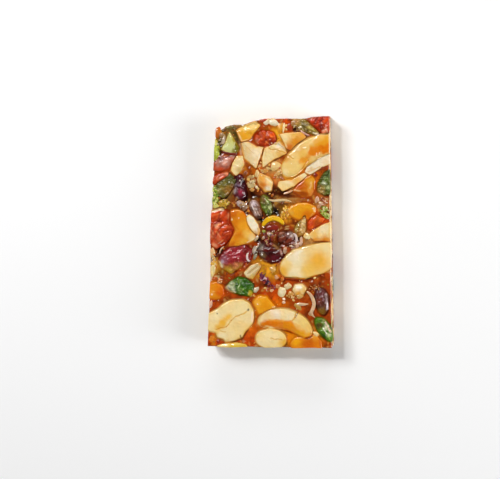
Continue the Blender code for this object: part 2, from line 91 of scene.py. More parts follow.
SLOPES = np.array([
    (1, 1, 0), (-1, 1, 0), (1, -1, 0), (-1, -1, 0), (1, 0, 1), (-1, 0, 1),
    (1, 0, -1), (-1, 0, -1), (0, 1, 1), (0, -1, 1), (0, 1, -1), (0, -1, -1),
], dtype=float)


def lattice(ix, iy, iz, seed):
    """A fixed whole number for each cell of space: the usual hash, of large primes."""
    mixed = ix * 73856093 ^ iy * 19349663 ^ iz * 83492791 ^ seed * 2654435761
    mixed = (mixed & 0xFFFFFFFF) * 1274126177 & 0xFFFFFFFF
    mixed = (mixed ^ (mixed >> 15)) * 2246822519 & 0xFFFFFFFF
    return mixed ^ (mixed >> 13)


def ripple(points, size, seed=0):
    """Smooth unevenness from about -1 to 1, with swells of this size in mm."""
    scaled = points / size
    cell = np.floor(scaled).astype(np.int64)
    part = scaled - cell
    ease = part * part * part * (part * (part * 6.0 - 15.0) + 10.0)
    total = np.zeros(len(points))
    for dx in (0, 1):
        for dy in (0, 1):
            for dz in (0, 1):
                corner = np.array((dx, dy, dz))
                pick = lattice(cell[:, 0] + dx, cell[:, 1] + dy, cell[:, 2] + dz, seed) % 12
                pull = np.sum(SLOPES[pick] * (part - corner), axis=1)
                share = np.prod(np.where(corner, ease, 1.0 - ease), axis=1)
                total += share * pull
    return total * 1.3


def layered(points, size, octaves, seed=0):
    """Unevenness with finer unevenness on it, each layer half as large and half as strong."""
    total = np.zeros(len(points))
    for k in range(octaves):
        total += ripple(points, size / 2 ** k, seed + 17 * k) / 2 ** k
    return total


def cells(points, size, seed=0):
    """Space packed with lumps: the distance to a lump's edge as a share, and a number for it."""
    scaled = points / size
    home = np.floor(scaled).astype(np.int64)
    nearest = np.full(len(points), 9.0)
    second = np.full(len(points), 9.0)
    owner = np.zeros(len(points), dtype=np.int64)
    for dx in (-1, 0, 1):
        for dy in (-1, 0, 1):
            for dz in (-1, 0, 1):
                at = home + np.array((dx, dy, dz))
                mark = lattice(at[:, 0], at[:, 1], at[:, 2], seed)
                jitter = np.stack([(mark >> s & 1023) / 1023.0 for s in (0, 10, 20)], axis=1)
                away = np.linalg.norm(at + jitter - scaled, axis=1)
                closer = away < nearest
                second = np.where(closer, nearest, np.minimum(second, away))
                owner = np.where(closer, mark, owner)
                nearest = np.where(closer, away, nearest)
    return second - nearest, owner


def smooth(low, high, value):
    """Rises from 0 at low to 1 at high, or falls where low is the higher."""
    part = np.clip((value - low) / (high - low), 0.0, 1.0)
    return part * part * (3.0 - 2.0 * part)


def linear(hex_colour):
    """An sRGB hex colour as linear light."""
    parts = [int(hex_colour[k:k + 2], 16) / 255.0 for k in (1, 3, 5)]
    return np.array([p / 12.92 if p <= 0.04045 else ((p + 0.055) / 1.055) ** 2.4 for p in parts])


def mixed(base, over, share):
    """Two colours in linear light, with this share of the second at each point."""
    share = share[:, None]
    return base * (1.0 - share) + over * share


def at_level(x, y, level):
    """Places of a face as points, on a level of the uneven fields that nothing else uses."""
    return np.stack([x, y, np.full(len(x), level)], axis=1)


def drifted(x, y, at, far, size, seed):
    """Places moved about unevenly, so that what is drawn round them has no even edge."""
    return x + far * ripple(at, size, seed), y + far * ripple(at, size, seed + 1)


def off_stroke(x, y, stroke):
    """How far a place is from the straight line x0, y0 to x1, y1."""
    x0, y0, x1, y1 = stroke
    along = np.clip(((x - x0) * (x1 - x0) + (y - y0) * (y1 - y0)) /
                    ((x1 - x0) ** 2 + (y1 - y0) ** 2), 0.0, 1.0)
    return np.hypot(x - x0 - along * (x1 - x0), y - y0 - along * (y1 - y0))


def cos_sin(degrees):
    return math.cos(math.radians(degrees)), math.sin(math.radians(degrees))


# --- the nuts and fruit ------------------------------------------------------------------------

# edge: how round the rim is, dome: how far the middle stands up, deep: from face to underside, wet:
# how far caramel creeps in over the rim, proud: how much of the rim stands out of the caramel, all
# in mm; square: 2 is an ellipse and more is boxier; taper: how much it narrows towards one end;
# uneven: how far the outline wanders, as a share; round: how soft corners are, in half degrees;
# skin: how much brown skin is left on it; mottle: how much its colour varies; crease and grain:
# how deep dried folds and a kernel's dents go, in mm.
KINDS = {
    "almond": dict(flesh="#EFD8A0", edge=0.8, dome=0.15, deep=5.0, square=2.2, wet=0.4, proud=0.05,
        taper=0.2, uneven=0.025, round=9.0, skin=0.0, mottle=0.04),
    "cashew": dict(flesh="#EED294", edge=1.2, dome=0.25, deep=5.2, square=2.2, wet=0.45, proud=0.1,
        taper=0.0, uneven=0.02, round=9.0, skin=0.0, mottle=0.04),
    "cut_nut": dict(flesh="#EBD5A4", edge=0.35, dome=0.05, deep=4.6, square=2.6, wet=0.3,
        proud=0.12, taper=0.1, uneven=0.035, round=4.0, skin=0.0, mottle=0.05),
    "pistachio": dict(flesh="#6F8A34", edge=1.2, dome=0.35, deep=4.8, square=2.0, wet=0.35,
        proud=0.3, taper=0.08, uneven=0.04, round=6.0, skin=0.3, mottle=0.25, grain=0.14),
    "seed": dict(flesh="#9A8E4A", edge=0.8, dome=0.3, deep=2.6, square=2.0, wet=0.3, proud=0.25,
        taper=0.25, uneven=0.03, round=5.0, skin=0.0, mottle=0.2),
    "fruit": dict(flesh="#B43408", edge=0.8, dome=0.25, deep=4.6, square=2.4, wet=0.3, proud=0.12,
        taper=0.0, uneven=0.06, round=5.0, skin=0.0, crease=0.3, mottle=0.15),
    "cranberry": dict(flesh="#4A1020", edge=1.3, dome=0.4, deep=4.8, square=2.2, wet=0.3,
        proud=0.35, taper=0.0, uneven=0.08, round=5.0, skin=0.0, crease=0.7, mottle=0.2),
    "peel": dict(flesh="#E6B616", edge=0.6, dome=0.2, deep=2.4, square=2.4, wet=0.15, proud=0.4,
        taper=0.0, uneven=0.02, round=6.0, skin=0.0, mottle=0.05),
}


def piece(name, kind, *corners, turn=0.0, sweep=0.0, back=False, **looks):
    """One nut or fruit, lying in its face. Either its corners in mm, or its middle and then its
    length and width; turn is from +X and sweep is the arc that a curled one bends round, in
    degrees. The looks, in mm: low, how much deeper than usual it lies; rough, how broken its face
    is; outline, how strong the brown line and painted shade round it are, as a share, and at 1 or
    more a nut also gets a painted highlight on its lit rim; washes, patches of colour: x, y, reach,
    colour, strength; pools, crisp ones round a stroke: from x, y to x, y, reach, colour, strength;
    some washes and pools are painted highlights, glints and reflections, not its own colour;
    cracks, dents along a stroke: from x, y to x, y, width; facets, flats that fall away on one
    side:
    the way they face in degrees, where they start from the middle, and their slope.
    """
    made = dict(name=name, kind=kind, turn=turn, sweep=sweep, back=back, washes=(), facets=(),
                low=0.0, cracks=(), rough=0.0, outline=1.0, pools=())
    made.update(KINDS[kind])
    if len(corners) > 2:
        x = sum(c[0] for c in corners) / len(corners)
        y = sum(c[1] for c in corners) / len(corners)
        reach = [math.hypot(c[0] - x, c[1] - y) for c in corners]
        long = 2.0 * max(reach)
        wide = 2.0 * min(reach)
        corners = [(c[0] - x, c[1] - y) for c in corners]
    else:
        (x, y), (long, wide) = corners
        corners = None
    made.update(x=x, y=y, long=long, wide=wide, corners=corners)
    made.update(looks)
    return made


# The shown face, from its uneven end down. Where two pieces meet, the later one goes under.
SHOWN = [
    # The pale washes at its upper left are partly its cream and partly a painted sheen; the two
    # small pale pools near (17.9, 28.7) and (18.9, 29.0) are painted glints.
    piece("cashew_northeast", "cashew", (4.4, 22.6), (4.7, 25.2), (7.0, 28.6), (11.0, 32.6),
          (15.0, 35.0), (19.0, 36.1), (24.5, 36.0), (24.5, 29.8), (19.0, 27.4), (13.6, 23.8),
          (10.0, 20.8), (6.0, 20.0), flesh="#EBC87E", washes=((20.4, 33.0, 3.2, "#E4A028", 0.9),
          (11.2, 31.2, 2.6, "#E7BE7A", 0.95), (15.4, 34.0, 1.8, "#ECCB84", 0.8),
          (19.2, 35.0, 1.6, "#EDBE60", 0.8), (13.4, 26.0, 2.4, "#E6A83A", 0.9),
          (6.6, 27.4, 1.7, "#D8962E", 0.9), (9.6, 24.0, 3.0, "#EDCC80", 0.8),
          (5.8, 22.0, 1.6, "#EFDCA8", 0.8), (12.6, 29.2, 2.0, "#E8B450", 0.8),
          (10.4, 31.4, 1.0, "#F0DDB8", 0.9)), pools=((18.4, 31.4, 24.0, 33.4, 2.7, "#E29A18", 0.8),
          (12.6, 26.2, 16.4, 29.2, 1.1, "#E08C10", 0.7),
          (16.4, 29.4, 20.4, 30.6, 1.7, "#DB7A04", 0.85),
          (20.4, 30.6, 24.0, 31.8, 1.7, "#DA7604", 0.85),
          (17.9, 29.2, 17.8, 28.2, 0.2, "#FBDCAC", 1.0),
          (18.9, 29.2, 18.8, 28.7, 0.22, "#FBDCAC", 1.0)), cracks=((12.0, 23.1, 14.8, 26.8, 0.2),
          (7.6, 28.2, 9.4, 27.5, 0.2))),
    # The palest washes and pool at its upper left, near (9.2, -8.0), are partly its cream and
    # partly a painted sheen.
    piece("almond_east", "almond", (3.5, -13.2), (5.2, -9.2), (9.2, -6.0), (14.6, -4.4),
          (24.5, -3.1), (24.5, -12.2), (20.4, -14.6), (17.0, -15.6), (13.4, -16.9), (10.0, -16.4),
          (5.0, -16.2), outline=1.4, washes=((18.2, -10.4, 4.4, "#EDB038", 0.95),
          (4.8, -14.2, 2.6, "#E8AE34", 0.95), (9.2, -8.4, 3.8, "#EDE0C4", 0.9),
          (14.6, -13.8, 2.8, "#EDBE50", 0.8), (9.4, -14.8, 2.2, "#F1E2BE", 0.85),
          (15.0, -6.0, 2.2, "#EBC987", 0.7), (21.8, -5.6, 2.4, "#EFD8A4", 0.8),
          (7.0, -11.6, 1.8, "#EDC872", 0.7)),
          pools=((9.0, -8.0, 12.0, -6.6, 0.5, "#F7EEDA", 0.6),)),
    piece("almond_southwest", "almond", (-23.8, -30.2), (-19.6, -28.1), (-17.0, -25.8),
          (-14.0, -24.6), (-10.2, -24.3), (-7.5, -25.8), (-6.0, -28.4), (-5.8, -31.5),
          (-6.6, -33.8), (-9.1, -36.5), (-10.4, -39.1), (-14.1, -40.4), (-16.9, -41.0),
          (-17.5, -39.6), (-20.1, -39.1), (-20.4, -37.2), (-23.8, -36.4), round=6.0,
          washes=((-17.6, -33.2, 1.6, "#ECB440", 0.95), (-15.4, -31.0, 1.5, "#F0C458", 0.85),
          (-19.4, -35.0, 1.4, "#EDB84C", 0.85), (-11.6, -36.0, 4.0, "#F1E2BA", 0.8),
          (-20.8, -30.8, 2.2, "#F0E0B4", 0.7), (-10.6, -27.6, 2.4, "#F0DCA8", 0.7),
          (-18.0, -38.2, 1.6, "#F3E9CC", 0.8), (-12.6, -39.6, 1.4, "#EBD8A4", 0.7),
          (-8.0, -28.5, 0.4, "#2E1A10", 1.0), (-19.9, -30.1, 0.3, "#4A3018", 0.9),
          (-16.2, -40.3, 0.8, "#DCB470", 0.7)),
          pools=((-19.0, -35.0, -15.6, -31.0, 0.9, "#EDB23A", 0.6),
          (-6.6, -29.6, -6.4, -33.0, 0.5, "#F7E2D2", 0.9),
          (-10.9, -39.0, -11.2, -38.2, 0.35, "#6A4420", 0.8)),
          cracks=((-8.6, -29.0, -14.8, -32.8, 0.17), (-14.8, -32.8, -16.6, -34.8, 0.19),
          (-16.6, -34.8, -20.4, -35.8, 0.19), (-16.4, -37.0, -18.6, -36.6, 0.12))),
    piece("almond_round_south", "almond", (0.3, -39.3), (11.8, 7.9), turn=-2, taper=0.0,
          washes=((5.4, -40.6, 2.2, "#E8B84C", 0.9), (-1.0, -38.0, 3.4, "#F2DFB0", 0.5),
          (-4.4, -40.0, 1.6, "#F3DDB6", 0.6)),
          pools=((5.2, -42.6, 5.8, -39.6, 0.8, "#E5AE3C", 0.7),),
          cracks=((0.2, -39.2, 2.4, -39.1, 0.13), (2.4, -39.1, 4.4, -39.2, 0.11))),
    # The palest washes along its top are partly its cream and partly a painted sheen.
    piece("cashew_south", "cashew", (5.8, -34.2), (22.5, 8.2), turn=-14, sweep=100,
          washes=((1.8, -29.9, 2.6, "#EFE0CC", 0.95), (-2.4, -31.6, 1.8, "#EBDCC2", 0.9),
          (7.4, -30.4, 2.4, "#F0DDB4", 0.85), (12.4, -32.8, 2.6, "#ECCB78", 0.85),
          (14.6, -35.0, 1.8, "#EBC068", 0.85)),
          pools=((-4.0, -34.8, -1.2, -33.6, 1.0, "#E08818", 0.95),
          (-1.2, -33.6, 2.4, -33.0, 1.3, "#DC7A08", 0.95),
          (2.4, -33.6, 6.6, -34.4, 1.9, "#DF7E08", 0.95),
          (6.6, -35.0, 10.6, -37.0, 2.1, "#E28E0C", 0.95),
          (10.6, -37.2, 14.6, -38.6, 1.6, "#E8A016", 0.95),
          (0.0, -32.2, 5.0, -32.6, 0.5, "#E9A040", 0.8),
          (5.4, -36.4, 8.0, -37.6, 0.9, "#C85A08", 0.7),
          (9.4, -33.8, 13.6, -37.0, 1.0, "#EBB050", 0.6),
          (10.6, -29.2, 9.4, -31.0, 0.2, "#5E3A18", 0.8)), cracks=((10.4, -29.3, 9.2, -31.2, 0.34),
          (9.2, -31.2, 8.0, -32.4, 0.24))),
    # The pale pink washes and pools on its lower half are painted highlights.
    piece("fruit_west", "fruit", (-22.8, 6.0), (-21.4, 8.4), (-17.0, 9.1), (-14.3, 8.2),
          (-14.6, 4.2), (-12.8, 1.4), (-13.6, -0.6), (-16.6, -4.4), (-20.0, -6.4), (-23.0, -3.4),
          flesh="#C03C0C", crease=0.24, rough=0.05, washes=((-20.6, 5.6, 1.6, "#D4461A", 0.8),
          (-17.2, 6.4, 1.8, "#CC4210", 0.8), (-15.2, 6.2, 0.9, "#E2804E", 0.6),
          (-18.4, 4.4, 1.2, "#8A1C06", 0.8), (-21.4, -0.8, 1.3, "#DE8058", 0.8),
          (-18.8, -2.4, 1.3, "#D66A40", 0.8), (-15.8, 0.8, 1.6, "#C84410", 0.7),
          (-19.4, 2.4, 0.8, "#E8A47C", 0.7), (-20.4, -4.6, 1.0, "#E8A480", 0.7),
          (-16.4, -2.2, 1.1, "#A82C08", 0.7)),
          pools=((-22.2, 7.4, -20.6, 8.7, 0.55, "#F2D6BC", 1.0),
          (-20.6, 8.7, -17.2, 9.1, 0.75, "#F6E2D0", 1.0),
          (-20.2, 3.0, -18.2, 3.4, 0.35, "#E8A070", 0.9),
          (-15.0, 7.6, -15.0, 4.4, 0.25, "#E08A5A", 0.7),
          (-21.2, 6.4, -18.2, 7.2, 0.4, "#DC6A30", 0.7),
          (-19.6, 0.6, -18.2, -1.4, 0.35, "#E08A60", 0.7),
          (-16.6, 3.2, -15.0, 2.4, 0.35, "#D86428", 0.7),
          (-18.8, -3.8, -17.2, -2.6, 0.3, "#E8A488", 0.7),
          (-21.8, 1.6, -20.6, -0.2, 0.35, "#E29068", 0.7)), cracks=((-21.8, 4.2, -18.0, 4.4, 0.5),
          (-18.0, 4.4, -14.8, 4.8, 0.5), (-17.6, 0.6, -14.0, 1.4, 0.34),
          (-20.4, -1.4, -18.6, 1.4, 0.3), (-17.4, -3.6, -15.6, -1.0, 0.28))),
    piece("almond_sliver_west", "cut_nut", (-8.3, 5.9), (-7.4, 6.9), (-5.6, 5.6), (-3.9, 3.2),
          (-3.2, 0.8), (-3.9, -1.2), (-5.2, -0.3), (-6.4, 1.0), (-7.7, 3.2), flesh="#F0E4CC",
          washes=((-4.6, -0.4, 1.4, "#C8903C", 0.95), (-7.6, 5.8, 0.8, "#F6EFDE", 0.6)),
          pools=((-4.1, 1.6, -3.6, -0.4, 0.4, "#D8A458", 0.8),
          (-4.9, -0.2, -4.4, -0.9, 0.3, "#7A4A18", 0.8))),
    piece("almond_amber_west", "almond", (-14.6, 8.2), (-12.0, 8.8), (-9.6, 8.0), (-8.0, 6.0),
          (-7.4, 3.0), (-5.8, 0.8), (-4.6, -1.6), (-5.6, -2.8), (-8.4, -3.9), (-12.0, -4.9),
          (-15.4, -5.2), (-14.4, -2.6), (-12.6, 0.9), (-13.8, 4.0), outline=0.35, flesh="#DD921C",
          round=6.0, washes=((-13.2, 6.8, 1.9, "#C8660A", 0.95), (-12.2, 3.4, 1.9, "#D4780A", 0.9),
          (-10.0, 6.6, 1.4, "#DC8A18", 0.8), (-9.4, 2.6, 2.0, "#E8A82E", 0.85),
          (-7.8, -0.4, 1.8, "#E9C060", 0.9), (-6.0, -1.8, 1.4, "#EBD29C", 0.9),
          (-11.4, -1.2, 2.0, "#D47A10", 0.9), (-9.4, -3.2, 1.6, "#E4AA3C", 0.8),
          (-13.6, -4.2, 1.4, "#C46412", 0.8)),
          pools=((-8.0, -3.4, -5.0, -2.0, 0.35, "#F6E6C4", 0.8),
          (-13.2, 8.5, -10.0, 8.4, 0.25, "#EDBA6C", 0.6))),
    piece("pistachio_burgundy", "pistachio", (-19.0, -9.6), (-17.6, -6.8), (-14.4, -4.9),
          (-9.2, -4.1), (-6.0, -6.0), (-6.6, -9.6), (-10.6, -12.8), (-14.6, -15.2), (-18.2, -12.8),
          flesh="#8C2024", rough=0.14, skin=0.0, mottle=0.25, grain=0.1,
          washes=((-15.4, -14.4, 2.2, "#BE9A30", 1.0), (-11.4, -12.8, 1.8, "#B08430", 0.95),
          (-18.4, -11.8, 1.2, "#DAD2AC", 0.9), (-16.6, -9.6, 1.7, "#8E5464", 0.8),
          (-12.6, -6.6, 2.6, "#9A2430", 0.8), (-8.6, -6.0, 1.6, "#6A1410", 0.85),
          (-17.4, -10.8, 0.6, "#C0A8BC", 0.8), (-12.2, -11.8, 1.2, "#C4764E", 0.8),
          (-6.8, -8.0, 0.8, "#6E2A10", 0.7)),
          pools=((-18.9, -10.4, -17.8, -12.6, 0.4, "#ECE6CC", 0.8),
          (-17.2, -13.6, -13.0, -15.0, 0.5, "#CDB040", 0.7),
          (-13.6, -9.0, -11.0, -8.6, 0.3, "#C06A78", 0.6),
          (-16.8, -7.8, -14.6, -6.2, 0.25, "#C88A98", 0.5))),
    # The whitish washes and pool at its left end and the yellow ones at its right end are painted
    # glints.
    piece("pistachio_green", "pistachio", (-16.8, -20.4), (-14.9, -18.1), (-11.7, -16.2),
          (-8.6, -16.6), (-6.0, -18.8), (-5.6, -21.4), (-7.4, -23.6), (-10.4, -23.2),
          (-14.7, -21.8), flesh="#3A6A08", rough=0.24, skin=0.0, edge=0.9,
          washes=((-16.0, -20.4, 1.5, "#DAC8BC", 0.95), (-14.2, -18.8, 1.3, "#A8AE84", 0.85),
          (-13.4, -20.6, 1.0, "#C8CCAC", 0.8), (-11.6, -18.0, 0.9, "#62802C", 0.8),
          (-7.0, -22.4, 0.9, "#C8B83A", 0.9), (-8.8, -18.8, 1.7, "#1E4C02", 0.9),
          (-11.0, -21.4, 1.0, "#7E9450", 0.6), (-12.6, -19.4, 0.7, "#2C4A10", 0.8)),
          pools=((-15.6, -21.4, -12.8, -22.0, 0.3, "#E2DCD0", 0.7),
          (-11.8, -20.4, -11.0, -19.2, 0.2, "#C2CC98", 0.8),
          (-10.4, -21.6, -9.6, -20.8, 0.2, "#A8C070", 0.7),
          (-8.0, -22.8, -7.2, -21.6, 0.3, "#D8C848", 0.7))),
    piece("peel_ring", "peel", (1.5, 4.0), (10.6, 2.0), turn=5, sweep=145,
          washes=((3.6, 5.2, 1.6, "#F0D040", 0.5), (-1.4, 4.4, 1.4, "#D8A40C", 0.6))),
    # The grey washes at its left and the pale pools at its right and foot are painted glints.
    piece("cranberry_centre", "cranberry", (0.5, -7.0), (10.4, 8.2), turn=-28, flesh="#54120F",
          washes=((-3.2, -5.2, 1.3, "#A2968A", 0.85), (-2.6, -8.2, 1.2, "#6E6444", 0.8),
          (3.2, -4.0, 1.6, "#8E5A2A", 0.8), (0.4, -3.8, 1.2, "#7A3430", 0.7),
          (2.4, -9.4, 1.4, "#6E1C30", 0.6), (0.2, -7.4, 1.3, "#3A0606", 0.8)),
          pools=((1.6, -4.6, 3.6, -6.0, 0.4, "#B07A44", 0.8),
          (4.2, -5.8, 4.6, -8.0, 0.35, "#C49890", 0.8),
          (-2.6, -9.6, -1.0, -10.6, 0.3, "#A88870", 0.7))),
    # The pale lilac wash at (8.6, -0.4) is a painted highlight.
    piece("cranberry_brown", "cranberry", (6.7, -1.9), (7.8, 5.6), turn=-22, flesh="#6A2A1C",
          washes=((8.6, -0.4, 1.5, "#C0ACB4", 0.85), (4.6, -0.4, 1.4, "#8A5A48", 0.7),
          (7.0, -3.2, 1.4, "#7A3020", 0.7))),
    piece("almond_cut_east", "cut_nut", (14.4, -1.0), (16.2, 0.9), (20.0, 3.1), (24.5, 4.7),
          (24.5, -3.1), (16.6, -2.9), flesh="#EACB8C", edge=0.6,
          washes=((20.6, -2.9, 1.8, "#DC8418", 0.95), (20.4, 1.8, 2.2, "#F0E2C0", 0.8),
          (16.8, -0.4, 1.4, "#E6B452", 0.7), (17.0, -2.6, 1.2, "#E29A30", 0.8)),
          pools=((16.6, 1.6, 21.0, 4.1, 0.4, "#F6ECD4", 0.7),
          (16.6, -2.4, 22.0, -2.2, 0.6, "#DE8A1C", 0.6))),
    piece("seed_middle", "seed", (11.9, 2.4), (8.6, 4.0), turn=70, flesh="#B8924C", rough=0.22,
          square=1.7, taper=0.32, washes=((10.2, 4.0, 1.7, "#96863C", 0.9),
          (10.4, 1.4, 1.1, "#A08C42", 0.8), (12.9, 1.0, 1.2, "#D0AC74", 0.8),
          (12.9, 4.2, 0.8, "#DCC48C", 0.8), (10.6, 0.0, 0.9, "#84501C", 0.7)),
          pools=((10.2, 5.0, 11.8, 6.4, 0.22, "#8EA03C", 0.7),
          (11.9, 1.6, 12.4, 4.6, 0.3, "#E0C898", 0.7)), cracks=((10.9, -0.8, 11.6, 3.0, 0.34),
          (11.6, 3.0, 12.4, 6.2, 0.3))),
    piece("fruit_east", "fruit", (14.4, 1.6), (14.4, 3.8), (15.4, 5.6), (17.6, 6.8), (20.6, 5.2),
          (20.0, 3.9), (17.6, 2.2), (15.6, 0.9), flesh="#CE540C", crease=0.06, wet=0.5,
          outline=0.5, washes=((19.2, 5.8, 1.6, "#DA6A1C", 0.8), (15.6, 3.4, 1.4, "#B2320A", 0.8),
          (17.0, 6.6, 1.2, "#D05A10", 0.7))),
    # The pale pools at its left end and at (16.8, 8.6) are painted glints.
    piece("almond_golden_east", "almond", (7.0, 8.0), (8.2, 10.0), (10.8, 10.9), (14.4, 11.0),
          (17.6, 9.6), (17.2, 7.2), (14.6, 4.8), (11.0, 4.8), (8.4, 6.0), outline=0.35,
          flesh="#E39A16", edge=0.7, dome=0.1, washes=((11.6, 9.8, 2.8, "#E6A01E", 0.7),
          (14.4, 6.4, 2.4, "#D27008", 0.9), (8.0, 7.6, 1.2, "#E0AE48", 0.7)),
          pools=((7.6, 8.6, 8.8, 10.0, 0.25, "#F4D488", 0.9),
          (16.7, 9.4, 16.9, 7.9, 0.3, "#FADFB0", 1.0), (16.2, 7.0, 15.6, 6.0, 0.3, "#EDB060", 0.7),
          (9.6, 10.7, 14.0, 10.8, 0.25, "#F0B848", 0.7))),
    # The pale green washes and pools on it are painted highlights.
    piece("pistachio_mid", "pistachio", (-0.8, 10.0), (8.6, 4.2), turn=-72, flesh="#66782A",
          rough=0.4, edge=0.9, washes=((-2.0, 12.4, 1.3, "#8A5E36", 0.8),
          (0.6, 9.8, 0.7, "#D2DCA8", 0.8), (-0.2, 7.2, 1.1, "#2E420C", 0.9),
          (-1.4, 9.6, 0.6, "#C0CC8C", 0.7), (-0.6, 11.4, 0.6, "#A0B458", 0.7)),
          pools=((-1.4, 12.6, -0.2, 11.0, 0.2, "#D8E0B0", 0.8),
          (0.4, 9.0, 0.9, 7.6, 0.2, "#DCE4C0", 0.8),
          (-1.2, 8.8, -0.6, 7.4, 0.18, "#90B040", 0.8))),
    # The pale lilac washes and pools on it are painted highlights.
    piece("pistachio_mauve", "pistachio", (-4.8, 8.8), (8.2, 4.2), turn=-68, flesh="#866058",
          rough=0.26, edge=0.9, skin=0.1, washes=((-5.7, 10.8, 1.3, "#CDBBC4", 0.95),
          (-4.7, 8.6, 0.7, "#D8C8D0", 0.85), (-3.4, 5.6, 1.2, "#34160C", 0.95),
          (-6.2, 8.4, 0.8, "#54342A", 0.8), (-3.6, 9.6, 0.8, "#6A4434", 0.8),
          (-4.6, 6.9, 0.6, "#C0A8B0", 0.7)), pools=((-6.2, 10.4, -5.0, 7.6, 0.22, "#EBE2EA", 0.8),
          (-4.6, 10.6, -3.8, 8.2, 0.2, "#4A241C", 0.8),
          (-4.2, 8.0, -3.4, 6.6, 0.2, "#D8C8D4", 0.8))),
    piece("fruit_north", "fruit", (-0.9, 34.8), (8.0, 5.8), turn=4, flesh="#B83C0A", crease=0.16,
          uneven=0.06, washes=((1.6, 33.2, 1.5, "#86200A", 0.8), (-4.0, 34.0, 1.0, "#C8785C", 0.8),
          (-1.0, 36.8, 1.6, "#C8480C", 0.8), (1.8, 36.0, 1.0, "#D2560F", 0.7),
          (-2.0, 33.0, 1.4, "#9A2C08", 0.7)), pools=((-4.6, 33.6, -3.6, 32.8, 0.3, "#D89878", 0.7),
          (-0.8, 33.6, 0.2, 33.0, 0.3, "#E08848", 0.7),
          (0.8, 35.6, 2.2, 35.2, 0.25, "#E88848", 0.7),
          (-3.2, 35.8, -2.2, 34.2, 0.35, "#D86A20", 0.7),
          (-1.8, 36.6, -0.6, 35.0, 0.35, "#D4601A", 0.7),
          (0.0, 36.8, 1.2, 35.4, 0.3, "#D66420", 0.7)), cracks=((-3.8, 36.4, -2.2, 33.4, 0.3),
          (-2.4, 37.4, -0.8, 34.4, 0.3), (-0.6, 37.6, 0.8, 34.4, 0.3),
          (1.0, 37.0, 2.0, 34.6, 0.26), (-0.8, 34.4, 0.4, 32.6, 0.26))),
    piece("almond_north", "cut_nut", (-11.7, 37.9), (-8.4, 39.6), (-4.6, 41.2), (-2.5, 39.6),
          (-5.4, 36.2), (-6.4, 34.3), (-9.9, 33.5), flesh="#E6B038", facets=((102, 0.6, 0.3),),
          washes=((-5.4, 40.0, 2.0, "#EBCF88", 0.9), (-8.8, 38.8, 1.6, "#ECCB70", 0.8),
          (-8.0, 35.6, 2.4, "#E3A21C", 0.85), (-6.4, 36.6, 0.9, "#CC8820", 0.6)),
          pools=((-11.4, 37.4, -9.9, 34.0, 0.45, "#F0D2AC", 0.8),
          (-8.6, 37.6, -4.4, 38.4, 0.35, "#F2D890", 0.6),
          (-9.2, 33.9, -7.0, 34.3, 0.3, "#F0D8A8", 0.7))),
    # The cream wash and pool at its right end are a painted highlight.
    piece("seed_northeast", "seed", (13.8, 38.7), (11.6, 4.4), turn=-30, flesh="#8E7428",
          rough=0.24, square=1.8, washes=((18.0, 36.2, 0.8, "#F0E0B8", 0.95),
          (10.2, 40.9, 1.5, "#BE8C48", 0.85), (13.4, 39.3, 1.2, "#5A4E1C", 0.8),
          (15.6, 38.2, 0.8, "#C8B058", 0.8), (12.0, 39.0, 0.6, "#D8C080", 0.7),
          (14.6, 37.4, 0.6, "#42300C", 0.8)),
          pools=((14.8, 38.8, 17.2, 37.2, 0.22, "#C8BC60", 0.7),
          (16.8, 36.6, 18.4, 35.8, 0.3, "#F6EAD0", 0.8))),
    piece("fruit_northeast", "fruit", (14.8, 41.0), (16.4, 43.6), (24.0, 43.8), (24.0, 37.0),
          (20.2, 35.9), (17.6, 38.2), flesh="#BC3408", crease=0.26, rough=0.06,
          washes=((20.8, 37.2, 1.1, "#DE946C", 0.8), (18.4, 41.2, 1.6, "#9A2408", 0.7),
          (21.6, 40.0, 1.6, "#CE4812", 0.8), (19.6, 39.0, 0.8, "#7E1606", 0.8),
          (22.0, 37.8, 1.2, "#C04010", 0.7)), pools=((15.4, 41.4, 17.2, 42.8, 0.4, "#D8988C", 0.8),
          (21.2, 38.6, 21.8, 36.6, 0.3, "#F0B498", 0.7)), cracks=((17.6, 39.6, 20.4, 41.6, 0.34),
          (19.4, 37.6, 22.4, 39.8, 0.34), (16.6, 41.6, 18.8, 43.0, 0.3))),
    piece("almond_wedge", "cut_nut", (4.4, 36.2), (12.9, 37.0), (14.1, 35.0), (11.8, 33.2),
          (8.2, 30.1), (6.8, 30.8), flesh="#E9BE6E", facets=((-60, 0.8, 0.12),),
          washes=((10.4, 33.4, 2.8, "#D98A14", 0.95), (12.8, 35.2, 1.6, "#DFA03A", 0.85),
          (7.8, 31.2, 1.6, "#CC6C0C", 0.95), (6.6, 35.2, 1.7, "#EED9A4", 0.85),
          (9.8, 36.0, 1.2, "#E8B654", 0.7)), pools=((4.9, 35.8, 7.0, 31.6, 0.25, "#EFD6A0", 0.6),
          (6.0, 36.1, 11.6, 36.7, 0.22, "#EDC880", 0.6))),
    piece("almond_cream_left", "cut_nut", (-9.9, 33.2), (-7.0, 33.4), (-4.4, 31.8), (-1.6, 31.5),
          (-3.0, 27.6), (-4.4, 23.6), (-9.0, 27.4), flesh="#E9CFA0", facets=((195, 0.6, 0.22),),
          washes=((-8.4, 30.0, 2.0, "#E2C286", 0.8), (-4.6, 29.6, 1.8, "#EEDEBE", 0.8),
          (-7.2, 32.6, 1.2, "#EFE0C0", 0.7), (-5.0, 26.0, 1.2, "#EAD4A8", 0.7)),
          pools=((-9.6, 32.8, -8.8, 28.0, 0.35, "#E8B878", 0.8),
          (-2.5, 30.4, -3.7, 26.0, 0.35, "#F7E9D6", 0.8),
          (-8.6, 32.4, -5.2, 29.2, 0.14, "#D4A868", 0.6),
          (-9.0, 27.6, -5.6, 24.8, 0.3, "#E0A45C", 0.6))),
    piece("almond_cream_right", "cut_nut", (-1.2, 31.0), (4.2, 33.5), (6.1, 31.8), (7.0, 29.2),
